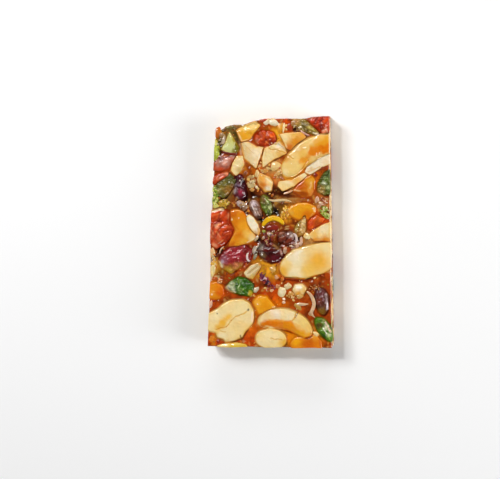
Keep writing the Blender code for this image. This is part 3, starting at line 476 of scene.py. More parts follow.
          (1.6, 26.6), (-2.1, 23.9), (-2.2, 27.4), flesh="#E8CC90", facets=((60, 2.2, 0.35),),
          cracks=((0.4, 31.0, 3.6, 30.4, 0.18), (3.6, 30.4, 6.2, 29.6, 0.18)),
          washes=((4.2, 32.2, 1.5, "#F4E9D4", 0.9), (0.6, 28.2, 1.8, "#EDDCAE", 0.7),
          (4.6, 28.6, 1.2, "#E2B463", 0.7), (-1.0, 25.6, 1.0, "#EBD6A8", 0.7)),
          pools=((5.2, 32.2, 6.4, 29.8, 0.3, "#F0C8A8", 0.8),
          (1.0, 30.7, 4.6, 31.2, 0.16, "#C49A5C", 0.7),
          (-1.2, 30.4, -1.9, 26.0, 0.25, "#F4E6CC", 0.7))),
    piece("pistachio_northwest", "pistachio", (-14.2, 37.4), (-12.4, 34.3), (-10.6, 31.6),
          (-11.4, 29.6), (-14.2, 28.8), (-17.4, 30.8), (-15.4, 34.4), flesh="#C6CA88", edge=0.4,
          facets=((-14, 1.0, 0.8),), uneven=0.015, round=3.0, skin=0.0, mottle=0.03, grain=0.02,
          washes=((-15.8, 31.6, 1.4, "#D0D49A", 0.6), (-13.6, 36.2, 0.8, "#D8DCB4", 0.8)),
          pools=((-12.8, 34.6, -11.6, 32.2, 0.55, "#A69C36", 0.95),
          (-11.6, 32.0, -12.6, 29.6, 1.0, "#8C8220", 0.95),
          (-11.2, 31.4, -11.8, 29.8, 0.4, "#6E6A14", 0.8),
          (-16.6, 31.2, -14.6, 29.4, 0.3, "#DCDCA8", 0.7))),
    piece("pistachio_west_edge", "pistachio", (-19.9, 30.6), (8.4, 4.4), turn=86, flesh="#B4BC44",
          skin=0.0, rough=0.2, edge=0.8, washes=((-19.0, 28.0, 1.4, "#98A030", 0.8),
          (-19.4, 33.4, 1.2, "#D8D888", 0.8), (-18.4, 30.4, 0.7, "#7C8824", 0.8))),
    piece("fruit_rosy", "fruit", (-20.8, 25.6), (-18.6, 28.3), (-14.2, 28.8), (-11.2, 29.9),
          (-12.8, 27.0), (-14.4, 23.8), (-17.6, 22.7), (-20.8, 23.2), flesh="#B24A30", crease=0.22,
          washes=((-15.8, 26.6, 2.4, "#C68E80", 0.95), (-12.6, 28.4, 1.1, "#D2A49C", 0.95),
          (-18.4, 26.2, 1.6, "#BE8474", 0.9), (-17.4, 23.4, 1.3, "#B83C10", 0.9),
          (-17.2, 27.0, 0.6, "#5E2828", 0.7), (-20.2, 24.4, 1.0, "#C4542A", 0.8)),
          pools=((-18.4, 27.6, -14.2, 28.2, 0.35, "#6E1A10", 0.9),
          (-16.8, 25.4, -15.2, 26.4, 0.3, "#E8C4B8", 0.7),
          (-14.0, 28.4, -11.8, 29.2, 0.25, "#E4C0B8", 0.8))),
    piece("almond_beige_west", "cut_nut", (-11.5, 28.4), (-9.3, 28.4), (-8.8, 25.4), (-9.8, 22.8),
          (-12.0, 21.0), (-14.0, 23.0), (-13.2, 25.8), flesh="#EAD4A0", facets=((-30, 0.6, 0.3),),
          washes=((-10.8, 23.2, 1.2, "#BC9850", 0.7),)),
    piece("fruit_west_small", "fruit", (-21.4, 18.4), (-20.4, 20.6), (-18.6, 22.2), (-14.6, 22.5),
          (-14.6, 21.2), (-18.2, 19.2), (-20.0, 17.8), flesh="#C8481A", crease=0.2,
          washes=((-15.6, 22.0, 1.1, "#DCA090", 0.9), (-18.6, 20.4, 0.7, "#E88A64", 0.7))),
    piece("pistachio_olive", "pistachio", (-16.1, 17.5), (9.8, 5.8), turn=52, flesh="#605E26",
          square=3.6, rough=0.24, edge=0.8, skin=0.15, washes=((-14.0, 20.4, 1.5, "#464A1C", 0.85),
          (-15.2, 15.8, 1.7, "#A0702A", 0.9), (-17.4, 16.6, 1.0, "#8A7A34", 0.8),
          (-18.8, 15.6, 0.9, "#B8B46A", 0.8), (-13.4, 17.4, 0.8, "#8A5A2C", 0.7),
          (-16.2, 18.8, 0.6, "#A8A45C", 0.7))),
    # The lilac washes on it, most along its left side, are painted reflections.
    piece("cranberry_north", "cranberry", (-10.7, 16.6), (9.8, 5.4), turn=-82, uneven=0.11,
          washes=((-12.8, 15.6, 1.0, "#CBBACB", 0.9), (-12.5, 18.2, 0.9, "#B0A0B2", 0.8),
          (-10.2, 14.8, 1.5, "#A03048", 0.85), (-9.5, 19.2, 1.2, "#2C0A14", 0.7),
          (-10.9, 17.6, 0.6, "#8E7A90", 0.7), (-9.0, 16.4, 0.8, "#4A1020", 0.7),
          (-11.6, 12.8, 0.6, "#C8B0B8", 0.7))),
    piece("almond_sliver_east", "cut_nut", (13.4, 22.2), (14.2, 24.4), (17.4, 26.8), (21.0, 28.4),
          (24.5, 29.6), (24.5, 26.0), (19.4, 23.6), (15.2, 21.3), flesh="#EBDCC0",
          washes=((16.0, 23.4, 1.0, "#E0C08C", 0.8), (21.4, 25.6, 1.2, "#E4C898", 0.7)),
          pools=((14.8, 22.4, 19.0, 24.2, 0.3, "#D8A868", 0.6),)),
    piece("almond_under_cashew", "cut_nut", (3.5, 17.2), (3.9, 19.0), (8.6, 19.4), (13.4, 22.2),
          (14.4, 20.9), (9.4, 17.2), (5.2, 15.3), flesh="#F0DDB0",
          washes=((10.6, 19.2, 2.2, "#E9A83C", 0.85),)),
    piece("almond_amber_east", "almond", (8.6, 15.2), (10.4, 17.4), (13.6, 20.5), (15.8, 21.3),
          (17.3, 19.4), (17.2, 16.2), (15.8, 13.4), (12.0, 12.9), outline=0.3, flesh="#CC6E0A",
          low=0.15, round=6.0, washes=((11.4, 17.4, 1.9, "#BE5006", 0.9),
          (14.8, 19.8, 1.9, "#DA920C", 0.9), (12.6, 14.4, 1.6, "#A84E08", 0.8),
          (16.6, 19.6, 0.9, "#E0A82C", 0.8)),
          pools=((15.7, 19.0, 15.3, 16.2, 1.1, "#DDA03C", 0.75),
          (15.3, 16.2, 16.2, 13.4, 0.9, "#D8903A", 0.7),
          (15.7, 18.4, 15.4, 16.4, 0.35, "#EBC684", 0.6),
          (8.8, 15.9, 11.6, 15.5, 0.3, "#E8C08A", 0.8),
          (11.6, 15.5, 14.0, 15.7, 0.5, "#CC7A24", 0.6),
          (9.4, 14.4, 13.8, 14.2, 0.9, "#8E3A08", 0.6))),
    # The two pale washes at (20.4, 18.2) and (21.8, 16.6) are painted glints.
    piece("pistachio_east", "pistachio", (17.9, 15.0), (18.1, 18.4), (20.4, 22.0), (24.0, 24.4),
          (24.0, 14.4), (20.6, 13.8), flesh="#5C6A24", skin=0.1, rough=0.5, edge=0.7,
          washes=((19.2, 15.4, 1.7, "#B08E4C", 0.9), (21.8, 21.8, 1.4, "#3C4E14", 0.85),
          (20.4, 18.2, 0.7, "#D6DCC0", 0.85), (21.8, 16.6, 0.7, "#BCC490", 0.8),
          (19.0, 17.2, 0.7, "#6A4A24", 0.7), (21.2, 19.6, 0.7, "#8EA860", 0.7))),
    piece("almond_middle", "cut_nut", (-4.1, 19.6), (-3.0, 22.0), (0.4, 20.6), (1.7, 18.8),
          (1.2, 15.6), (-1.2, 15.1), (-3.4, 17.4), flesh="#E6C688", facets=((230, 0.4, 0.3),),
          washes=((-2.0, 17.6, 1.8, "#DA7E12", 0.95), (-2.6, 20.2, 1.4, "#E4A23C", 0.85),
          (0.2, 16.4, 1.0, "#F2E2C4", 0.8), (0.0, 19.0, 1.0, "#EDD5A4", 0.8)),
          pools=((-0.6, 20.2, 1.2, 18.4, 0.35, "#F4E4C4", 0.8),
          (-0.6, 16.6, 0.8, 15.8, 0.4, "#F6EAD0", 0.8))),
    piece("almond_beige_small", "cut_nut", (-9.7, -14.7), (-7.0, -12.1), (-4.1, -11.0),
          (-2.9, -12.2), (-4.6, -15.0), (-6.2, -17.2), (-8.4, -16.6), flesh="#CDB486",
          facets=((-40, 0.8, 0.35),), washes=((-6.4, -16.4, 1.2, "#D0AC48", 0.85),
          (-8.4, -14.8, 1.0, "#E2D4B4", 0.8)),
          pools=((-9.0, -14.6, -5.6, -11.8, 0.25, "#E8DCC0", 0.8),
          (-8.0, -14.9, -4.4, -12.0, 0.2, "#A07C48", 0.7),
          (-7.4, -15.4, -4.0, -12.8, 0.22, "#E8D8B0", 0.7),
          (-5.8, -16.2, -4.2, -14.2, 0.25, "#C89430", 0.8))),
    piece("almond_amber_low_west", "almond", (-24.5, -18.6), (-20.0, -17.9), (-17.4, -19.8),
          (-16.8, -22.8), (-18.6, -24.6), (-24.5, -24.6), outline=0.3, flesh="#E08C12", low=0.1,
          washes=((-17.8, -22.2, 2.2, "#D4620E", 0.95), (-21.6, -22.2, 1.4, "#E8A848", 0.6),
          (-20.8, -19.4, 1.2, "#E49A20", 0.7))),
    piece("almond_amber_low", "almond", (-6.5, -25.6), (-4.3, -23.0), (-1.0, -23.2), (2.6, -27.5),
          (-0.6, -29.0), (-4.4, -30.3), outline=0.35, flesh="#EAA01E", edge=1.0, round=8.0,
          washes=((-1.6, -26.6, 1.8, "#DE8C0C", 0.8), (-4.6, -26.0, 1.2, "#EDB246", 0.7)),
          pools=((1.2, -27.6, 2.2, -27.4, 0.4, "#F4D09C", 0.8),
          (-3.2, -24.0, -1.6, -23.9, 0.2, "#F2C264", 0.6))),
    piece("almond_foot", "almond", (-20.6, -42.0), (-17.0, -41.2), (-12.6, -40.7), (-8.6, -41.4),
          (-8.0, -43.4), (-20.6, -43.4), flesh="#DDBC44",
          washes=((-17.4, -42.4, 2.2, "#EFD9A0", 0.8), (-10.0, -42.2, 1.4, "#D8B040", 0.8))),
    piece("almond_amber_foot", "almond", (7.2, -40.8), (8.8, -38.7), (11.6, -38.4), (14.4, -37.4),
          (17.2, -37.6), (19.4, -40.0), (19.4, -44.4), (8.0, -44.4), outline=0.35, flesh="#DC8214",
          washes=((9.6, -40.0, 2.0, "#F0AA16", 0.95), (14.0, -41.0, 2.4, "#C85E0C", 0.9),
          (16.4, -38.4, 1.4, "#E4A038", 0.8)),
          pools=((10.6, -38.9, 14.4, -38.2, 0.3, "#EDB040", 0.7),
          (18.2, -39.6, 18.8, -42.0, 0.4, "#D07028", 0.7))),
    # The pale washes and pale pools along it are painted glints.
    piece("pistachio_southeast", "pistachio", (20.2, -35.6), (11.2, 5.4), turn=-56,
          flesh="#567E18", rough=0.22, skin=0.0, square=1.8,
          washes=((20.6, -34.8, 1.0, "#C2C49C", 0.95), (21.6, -37.4, 0.8, "#CCD4B0", 0.9),
          (18.2, -34.2, 1.3, "#5A3A14", 0.85), (20.0, -38.0, 1.1, "#2E5C06", 0.8),
          (19.6, -32.4, 1.1, "#98A068", 0.8), (18.4, -32.6, 0.9, "#3A6A0A", 0.8)),
          pools=((20.6, -33.0, 22.4, -36.4, 0.4, "#E8CCC0", 0.8),
          (19.8, -35.0, 21.0, -37.2, 0.25, "#EEF0E0", 0.8),
          (21.2, -37.6, 22.2, -39.2, 0.25, "#9CB850", 0.8),
          (18.8, -36.4, 20.6, -39.2, 0.3, "#24500A", 0.8))),
    # The lilac white pools along its right side are painted glints.
    piece("pistachio_dark_east", "pistachio", (19.3, -25.2), (10.6, 5.8), turn=-82,
          flesh="#52261C", rough=0.18, square=1.9, washes=((18.8, -22.0, 1.8, "#643034", 0.85),
          (18.8, -28.8, 1.6, "#8E6A14", 0.9), (18.2, -25.0, 1.1, "#8A4230", 0.7),
          (17.6, -27.4, 0.9, "#3E2004", 0.8)),
          pools=((20.8, -22.4, 21.3, -27.6, 0.45, "#BCA4B0", 0.9),
          (21.2, -25.8, 21.3, -28.0, 0.3, "#E8DCE8", 0.9),
          (19.6, -22.0, 19.8, -25.0, 0.3, "#8A5A64", 0.7))),
    # The white wash and pool at its top are a painted highlight.
    piece("almond_crumb_middle", "cut_nut", (8.4, -20.8), (9.4, -19.0), (12.2, -18.6),
          (13.8, -20.4), (12.6, -22.9), (9.4, -23.2), flesh="#EBD6A4", edge=0.9, round=9.0,
          washes=((10.8, -22.6, 1.7, "#DC9A2C", 0.95), (13.0, -21.2, 1.0, "#E2B050", 0.8),
          (10.6, -19.8, 1.1, "#F8F2E2", 0.9)),
          pools=((10.0, -20.0, 11.6, -19.8, 0.4, "#FFFBF2", 0.9),)),
]

# The back face is like the shown one, of whole halves that the knife cut at the sides.
BACK = [
    piece("back_almond_north", "almond", (8.4, 32.9), (21.0, 12.0), turn=15, back=True),
    piece("back_almond_west", "almond", (-16.1, 21.9), (20.0, 11.5), turn=70, back=True),
    piece("back_cashew_east", "cashew", (17.0, 11.9), (22.0, 8.0), turn=100, sweep=80, back=True),
    piece("back_fruit_middle", "fruit", (1.4, 12.9), (13.0, 9.0), turn=40, back=True),
    piece("back_pistachio_middle", "pistachio", (-8.6, 2.9), (13.0, 7.4), turn=-35, back=True),
    piece("back_almond_middle", "almond", (8.9, -5.6), (21.0, 12.0), turn=160, back=True),
    piece("back_cranberry_west", "cranberry", (-18.1, -3.1), (9.5, 7.0), turn=60, back=True),
    piece("back_cut_almond_west", "cut_nut", (-18.1, -17.6), (12.0, 8.0), turn=80, back=True),
    piece("back_cashew_south", "cashew", (-1.6, -22.1), (23.0, 8.0), turn=20, sweep=90, back=True),
    piece("back_pistachio_east", "pistachio", (19.4, -21.1), (12.0, 7.0), turn=75, back=True),
    piece("back_almond_south", "almond", (9.9, -37.1), (20.0, 11.5), turn=-8, back=True),
    piece("back_fruit_southwest", "fruit", (-14.1, -35.6), (13.0, 9.0), turn=-40, back=True),
]


def arc_of(p):
    """The radius that a curled piece bends round, and how far its ends lie below its middle."""
    radius = p["long"] / math.radians(p["sweep"])
    return radius, radius * (1.0 - math.cos(math.radians(p["sweep"]) / 2.0))


def curl(p, a, b):
    """From a piece's straight frame to its bent one: round an arc, its ends towards -b."""
    if not p["sweep"]:
        return a, b
    radius, sag = arc_of(p)
    turned = a / radius
    return (radius + b) * np.sin(turned), (radius + b) * np.cos(turned) - radius + sag / 2.0


def uncurl(p, a, b):
    """The way back from the bent frame to the straight one."""
    if not p["sweep"]:
        return a, b
    radius, sag = arc_of(p)
    up = b + radius - sag / 2.0
    return np.arctan2(a, up) * radius, np.hypot(a, up) - radius


def to_bar(p, a, b):
    """From a piece's straight frame to the bar's."""
    a, b = curl(p, a, b)
    c, s = cos_sin(p["turn"])
    return p["x"] + c * a - s * b, p["y"] + s * a + c * b


def to_piece(p, x, y):
    """From the bar's frame to a piece's straight one."""
    c, s = cos_sin(p["turn"])
    dx = x - p["x"]
    dy = y - p["y"]
    return uncurl(p, c * dx + s * dy, c * dy - s * dx)


OUTLINE_STEPS = 720
ANGLES = np.linspace(-math.pi, math.pi, OUTLINE_STEPS, endpoint=False)


def outline_of(p, seed):
    """How far a piece reaches at each of ANGLES, in mm, in its straight frame."""
    u = np.cos(ANGLES)
    v = np.sin(ANGLES)
    if p["corners"]:
        corner = np.array(p["corners"])
        reach = np.full(OUTLINE_STEPS, np.inf)
        for start, end in zip(corner, np.roll(corner, -1, axis=0)):
            along = end - start
            cross = u * along[1] - v * along[0]
            cross = np.where(np.abs(cross) < 1e-9, 1e-9, cross)
            far = (start[0] * along[1] - start[1] * along[0]) / cross
            share = (start[0] * v - start[1] * u) / cross
            hit = (far > 0.0) & (share >= -1e-6) & (share <= 1.0 + 1e-6)
            reach = np.where(hit & (far < reach), far, reach)
        spread = np.exp(-0.5 * (np.arange(-30, 31) / p["round"]) ** 2)
        padded = np.concatenate([reach[-30:], reach, reach[:30]])
        reach = np.convolve(padded, spread / spread.sum(), mode="valid") + 0.1
    else:
        width = p["wide"] / 2.0 * (1.0 - p["taper"] * u)
        power = p["square"]
        level = np.abs(u / (p["long"] / 2.0)) ** power + np.abs(v / width) ** power
        reach = level ** (-1.0 / power)
    ring = np.stack([u * 2.0, v * 2.0, np.full(OUTLINE_STEPS, 3.7 * seed)], axis=1)
    return reach * (1.0 + p["uneven"] * layered(ring, 1.1, 2, seed))


def reach_at(p, angle):
    """How far a piece reaches this way, in mm, in its straight frame."""
    return np.interp(angle, ANGLES, p["reach"], period=2.0 * math.pi)


def depth_inside(p, x, y):
    """How far inside a piece's outline a place lies, in mm; outside it is negative."""
    a, b = to_piece(p, x, y)
    return reach_at(p, np.arctan2(b, a)) - np.hypot(a, b)


def near_stroke(x, y, stroke):
    """How close a place is to a stroke with a width: 1 on it and 0 away from it."""
    x, y = drifted(x, y, at_level(x, y, 9.0), 0.5, 2.4, 80)
    return np.exp(-(off_stroke(x, y, stroke[:4]) / stroke[4]) ** 2)


def own_place(p, a, b):
    """Places of a piece's straight frame as points in its own part of the uneven fields."""
    return at_level(a, b, 5.3 * p["index"])


def folds(p, at):
    """The creases of dried fruit: 0 in the deepest and about 1 on the ridges."""
    a, b = drifted(at[:, 0], at[:, 1], at, 0.5, 2.2, p["index"] + 70)
    slant = np.stack([0.8 * a + 0.6 * b, 0.8 * b - 0.6 * a, at[:, 2]], axis=1)
    wide = np.abs(ripple(slant * (0.5, 1.0, 1.0), 2.2, p["index"]))
    fine = np.abs(ripple(slant, 1.2, p["index"] + 3))
    return np.clip(1.5 * wide + 0.2 * fine, 0.0, 1.3)


def upper_side(p, x, y, a, b, inside):
    """The height of a piece's outer face above its own plane, in mm: a round rim, a low dome, its
    flats, and then what its kind gives it, such as folds, dents or ribs."""
    index = p["index"]
    rim = np.clip(1.0 - inside / p["edge"], 0.0, 1.0)
    height = -p["edge"] * (1.0 - np.sqrt(1.0 - rim * rim))
    share = np.clip(inside / (0.5 * min(p["long"], p["wide"])), 0.0, 1.0)
    height += p["dome"] * (smooth(0.0, 1.0, share) - 1.0)
    for direction, offset, slope in p["facets"]:
        turn = math.radians(direction)
        beyond = (x - p["x"]) * math.cos(turn) + (y - p["y"]) * math.sin(turn) - offset
        height -= slope * np.maximum(0.0, beyond)
    at = own_place(p, a, b)
    long_at = at * (0.45, 1.0, 1.0)
    if p["kind"] in FRUITS:
        height += p["crease"] * (folds(p, at) - 0.7)
    elif p["kind"] == "pistachio":
        height += p["grain"] * (ripple(long_at, 1.3, index) + 0.4 * ripple(at, 0.8, index + 5))
    elif p["kind"] == "seed":
        height += 0.14 * ripple(at * (0.15, 1.0, 1.0), 0.7, index)
    elif p["kind"] == "cut_nut":
        height += 0.1 * layered(at, 2.4, 3, index)
    elif p["kind"] == "peel":
        height += 0.06 * ripple(at, 1.2, index)
    else:
        height += 0.10 * ripple(at, 3.5, index) + 0.02 * ripple(long_at, 0.9, index + 2)
    height += 0.05 * smooth(0.3, 0.6, ripple(at, 1.1, index + 12))
    if p["rough"]:
        ridge = np.abs(ripple(at, 1.8, index + 9)) + 0.5 * np.abs(ripple(at, 0.9, index + 10))
        height += p["rough"] * (0.7 - 2.4 * ridge)
    for stroke in p["cracks"]:
        height -= 0.5 * stroke[4] * near_stroke(x, y, stroke)
    return height


def under_others(p, x, y):
    """How far a piece goes under the ones before it in its face, in mm, and how near it is to the
    line where it meets one."""
    sunk = np.zeros(len(x))
    joint = np.zeros(len(x))
    for other in ALL_PIECES[:p["index"]]:
        apart = math.hypot(other["x"] - p["x"], other["y"] - p["y"])
        if other["back"] == p["back"] and apart < (other["long"] + p["long"]) / 2.0 + 2.0:
            depth = depth_inside(other, x, y)
            sunk = np.maximum(sunk, 1.6 * smooth(-0.15, 0.6, depth))
            joint = np.maximum(joint, np.exp(-(depth / 0.22) ** 2))
    return sunk, joint


def crest_of(p):
    """How far a piece's plane lies under its face of the bar, in mm: a little uneven."""
    return 0.08 + p["low"] + 0.14 * (0.5 + 0.5 * math.sin(12.9898 * (p["index"] + 1)))


ALL_PIECES = SHOWN + BACK
for piece_index, each in enumerate(ALL_PIECES):
    each["index"] = piece_index
    each["reach"] = outline_of(each, piece_index)
    each["crest"] = crest_of(each)


# --- meshes ------------------------------------------------------------------------------------

def grid_faces(rows, columns, closed):
    """Quads between rows of vertices, each row a closed ring or an open line."""
    r = np.arange(rows - 1)[:, None]
    c = np.arange(columns if closed else columns - 1)[None, :]
    nxt = (c + 1) % columns
    quads = np.stack([r * columns + c, r * columns + nxt, (r + 1) * columns + nxt,
                      (r + 1) * columns + c], axis=-1)
    return quads.reshape(-1, 4)


def tip_fans(around, last, top, under):
    """Triangles that close rings of points at both ends: the first ring to the point top, and the
    last ring, which starts at the point last, to the point under."""
    ids = np.arange(around)
    ahead = (ids + 1) % around
    return np.concatenate([np.stack([np.full(around, top), ids, ahead], axis=1),
                           np.stack([np.full(around, under), last + ahead, last + ids], axis=1)])


def mesh_object(name, points, quads, fans, fields, material, sharp=None):
    """An object from points in mm, quads and triangles, with its named values at each point. Edges
    over sharp degrees stay sharp."""
    mesh = bpy.data.meshes.new(name)
    loops = np.concatenate([quads.ravel(), np.array(fans, dtype=np.int64).ravel()])
    starts = np.concatenate([np.arange(len(quads)) * 4,
                             len(quads) * 4 + np.arange(len(fans)) * 3])
    mesh.vertices.add(len(points))
    placed = (points + (*SHIFT, 0.0)) * MM
    mesh.vertices.foreach_set("co", placed.astype(np.float32).ravel())
    mesh.loops.add(len(loops))
    mesh.loops.foreach_set("vertex_index", loops.astype(np.int32))
    mesh.polygons.add(len(starts))
    mesh.polygons.foreach_set("loop_start", starts.astype(np.int32))
    mesh.update(calc_edges=True)
    mesh.validate()
    mesh.shade_smooth()
    for key, values in fields.items():
        if values.ndim == 2:
            layer = mesh.attributes.new(key, "FLOAT_COLOR", "POINT")
            filled = np.concatenate([values, np.ones((len(values), 1))], axis=1)
            layer.data.foreach_set("color", filled.astype(np.float32).ravel())
        else:
            layer = mesh.attributes.new(key, "FLOAT", "POINT")
            layer.data.foreach_set("value", values.astype(np.float32))
    if sharp:
        mesh.set_sharp_from_angle(angle=math.radians(sharp))
    mesh.materials.append(material)
    made = bpy.data.objects.new(name, mesh)
    bpy.context.scene.collection.objects.link(made)
    return made


def piece_shape(p, around, inward, wall=9, under=7):
    """A nut or fruit's points and faces, how far each point is inside its outline, and where the
    knife cut it. Rings run from the middle of its face to its rim, down wall steps and in again
    over under steps, and none passes the outline of the bar."""
    phi = np.linspace(-math.pi, math.pi, around, endpoint=False)
    full = reach_at(p, phi)
    steps = np.linspace(0.0, 1.0, 161)[1:]
    x, y = to_bar(p, full[:, None] * steps * np.cos(phi)[:, None],
                  full[:, None] * steps * np.sin(phi)[:, None])
    inside = inside_bar(x, y, 0.12)
    share = np.where(inside.all(axis=1), 1.0, inside.argmin(axis=1) / len(steps))
    kept = full * np.maximum(share, 0.02)
    cut = (share < 1.0).astype(float)

    def face_ring(part):
        r = kept * part
        ra, rb = r * np.cos(phi), r * np.sin(phi)
        rx, ry = to_bar(p, ra, rb)
        return ra, rb, rx, ry, full - r

    def low_side(inner):
        """The hidden underside, as deep as the piece is far from its outline."""
        sunk = np.clip(inner / (0.5 * p["wide"]), 0.0, 1.0)
        return -p["edge"] - (p["deep"] - p["edge"]) * np.sqrt(1.0 - (1.0 - sunk) ** 2)

    rows = []
    for part in 1.0 - (1.0 - np.linspace(0.0, 1.0, inward + 1)[1:]) ** 1.6:
        ra, rb, rx, ry, inner = face_ring(part)
        height = upper_side(p, rx, ry, ra, rb, inner) - under_others(p, rx, ry)[0]
        rows.append((rx, ry, height, inner, np.zeros(around)))
    high = rows[-1][2]
    low = np.minimum(low_side(inner), high - 0.05)
    for k in range(1, wall):
        rows.append((rx, ry, high + (low - high) * k / wall, inner, cut))
    for part in np.linspace(1.0, 0.0, under + 1)[:-1]:
        _, _, rx, ry, inner = face_ring(part)
        rows.append((rx, ry, np.minimum(low_side(inner), low), inner, np.zeros(around)))
    x, y, h, inner, raw = (np.concatenate([row[k] for row in rows]) for k in range(5))
    mid_x, mid_y = to_bar(p, np.zeros(1), np.zeros(1))
    middle = np.array([full.min()])
    top = upper_side(p, mid_x, mid_y, np.zeros(1), np.zeros(1), middle) \
        - under_others(p, mid_x, mid_y)[0]
    x = np.concatenate([x, mid_x, mid_x])
    y = np.concatenate([y, mid_y, mid_y])
    h = np.concatenate([h, top, [-p["deep"]]])
    inner = np.concatenate([inner, middle, middle])
    raw = np.concatenate([raw, [0.0, 0.0]])
    z = np.minimum(BAR_THICK - p["crest"] + h, BAR_THICK - 0.02)
    points = np.stack([x, y, np.maximum(z, 0.05)], axis=1)
    jag = 0.12 * np.abs(layered(points, 0.9, 2, p["index"])) * raw
    points[:, 0] -= np.sign(points[:, 0]) * jag
    quads = grid_faces(len(rows), around, True)[:, ::-1]
    fans = tip_fans(around, (len(rows) - 1) * around, len(points) - 2, len(points) - 1)
    if p["back"]:
        points[:, 2] = BAR_THICK - points[:, 2]
        quads = quads[:, ::-1]
        fans = fans[:, ::-1]
    return points, quads, fans, inner, raw


def shaded_side(p, x, y):
    """From 0 on the side of a piece that faces the light to 1 on the other."""
    dx = x - p["x"]
    dy = y - p["y"]
    return np.clip(0.45 + 0.6 * (0.5 * dx - 0.85 * dy) / (np.hypot(dx, dy) + 0.5), 0.0, 1.0)


def rim_line_and_shade(p, points, inner):
    """The thin brown line and painted shade at a piece's own rim, strongest on its side away from
    the light, broken here and there.
    """
    broken = smooth(-0.6, 0.2, ripple(points, 3.0, 66))
    shaded = shaded_side(p, points[:, 0], points[:, 1])
    return p["outline"] * shaded * smooth(0.36, 0.04, inner) * broken


def caramel_on(p, points, inner, raw):
    """How thick the caramel over each point of a piece is, in mm: it creeps in over the rim and
    pools in places, and it is made thicker at the rim on the side away from the light, which
    paints shade there."""
    creep = p["wet"] * (1.0 + 0.9 * ripple(points, 2.6, p["index"]))
    rim = 1.2 * np.exp(-np.maximum(inner, 0.0) / np.maximum(0.12, 0.7 * creep))
    pool = 0.06 + 0.2 * smooth(0.1, 0.9, ripple(points, 7.0, p["index"] + 40))
    under, _ = under_others(p, points[:, 0], points[:, 1])
    lines = sum(0.7 * near_stroke(points[:, 0], points[:, 1], stroke) for stroke in p["cracks"])
    # Thicker caramel along the rim on the side away from the light: painted shade.
    line = 1.6 * rim_line_and_shade(p, points, inner)
    return (rim + pool + line + 0.8 * under + lines) * (1.0 - raw) + 0.03 * raw


def stroke_share(points, stroke, reach):
    """1 within this reach of a stroke, in mm, and 0 a little beyond it, with an uneven edge."""
    soft = min(0.6 * reach, max(0.3, 0.55 * reach))
    x, y = drifted(points[:, 0], points[:, 1], points, soft, 1.6, 82)
    return smooth(reach + 0.6 * soft, reach - soft, off_stroke(x, y, stroke))


def paint(p, points, inner, raw):
    """The colour of a piece under its caramel, with its skin, painted shade in the creases of
    fruit, a painted highlight on a nut's lit rim and painted glints on its blisters; and its shade,
    painted darker where it dips under a piece before it, along its cracks, and at its rim, most
    on the side away from the light.
    """
    x, y = points[:, 0], points[:, 1]
    base = np.tile(linear(p["flesh"]), (len(points), 1))
    drift_x, drift_y = drifted(x, y, points, 0.5, 1.8, p["index"] + 20)
    for wash_x, wash_y, reach, colour, strength in p["washes"]:
        away = np.hypot(drift_x - wash_x, drift_y - wash_y) / reach
        base = mixed(base, linear(colour), strength * np.exp(-away ** 3) * (1.0 - 0.7 * raw))
    for *stroke, reach, colour, strength in p["pools"]:
        share = strength * stroke_share(points, stroke, reach) * (1.0 - 0.8 * raw)
        base = mixed(base, linear(colour), share)
    # A painted highlight: the rim of a pale nut is lighter on the side that faces the light.
    if p["outline"] >= 1.0 and p["kind"] in NUTS:
        lit = 1.0 - shaded_side(p, x, y)
        share = 0.5 * lit * smooth(0.5, 0.2, inner) * smooth(-0.05, 0.12, inner) * (1.0 - raw)
        base = mixed(base, linear("#FBF0DC"), share)
    if p["skin"]:
        patch = ripple(points, 2.4, p["index"] + 60) + 0.4 * ripple(points, 1.1, p["index"] + 61)
        share = p["skin"] * 2.0 * smooth(0.1, 0.7, patch) * (1.0 - raw)
        base = mixed(base, linear("#5E4030"), share)
    # Fruit is painted darker in its creases and lighter on its ridges: painted shade and light.
    if p["kind"] in FRUITS:
        bright = 0.6 + 0.55 * folds(p, own_place(p, *to_piece(p, x, y)))
        base = np.clip(base * bright[:, None], 0.0, 1.0)
    if p["kind"] == "fruit":
        across, along = drifted(0.5 * (x + y), 1.4 * (y - x), points, 0.8, 2.0, 67)
        fibres = ripple(np.stack([across, along, points[:, 2]], axis=1), 1.3, 64)
        base = mixed(base, linear("#E0703C"), 0.3 * smooth(0.15, 0.6, fibres))
    if p["kind"] in NUTS:
        base = mixed(base, linear("#F6E8C6"), 0.6 * raw)
    base = base * (1.0 + p["mottle"] * layered(points, 1.3, 2, p["index"] + 62))[:, None]
    # Painted glints on the blisters of the shown face.
    if not p["back"]:
        share = 0.75 * glint_blisters_on(x, y) * (inner > 0.0) * (1.0 - raw)
        base = mixed(base, linear("#FFF4E2"), share)
    # Painted shade: darker where it dips under a piece before it, along its cracks, and at its rim,
    # most on the side away from the light.
    _, joint = under_others(p, x, y)
    shade = 1.0 - (0.6 * joint + 0.4 * rim_line_and_shade(p, points, inner)) * (1.0 - raw)
    for stroke in p["cracks"]:
        shade -= 0.2 * near_stroke(x, y, (*stroke[:4], 0.2)) * (1.0 - raw)
    return np.clip(base, 0.0, 1.0), np.clip(shade, 0.1, 1.0)


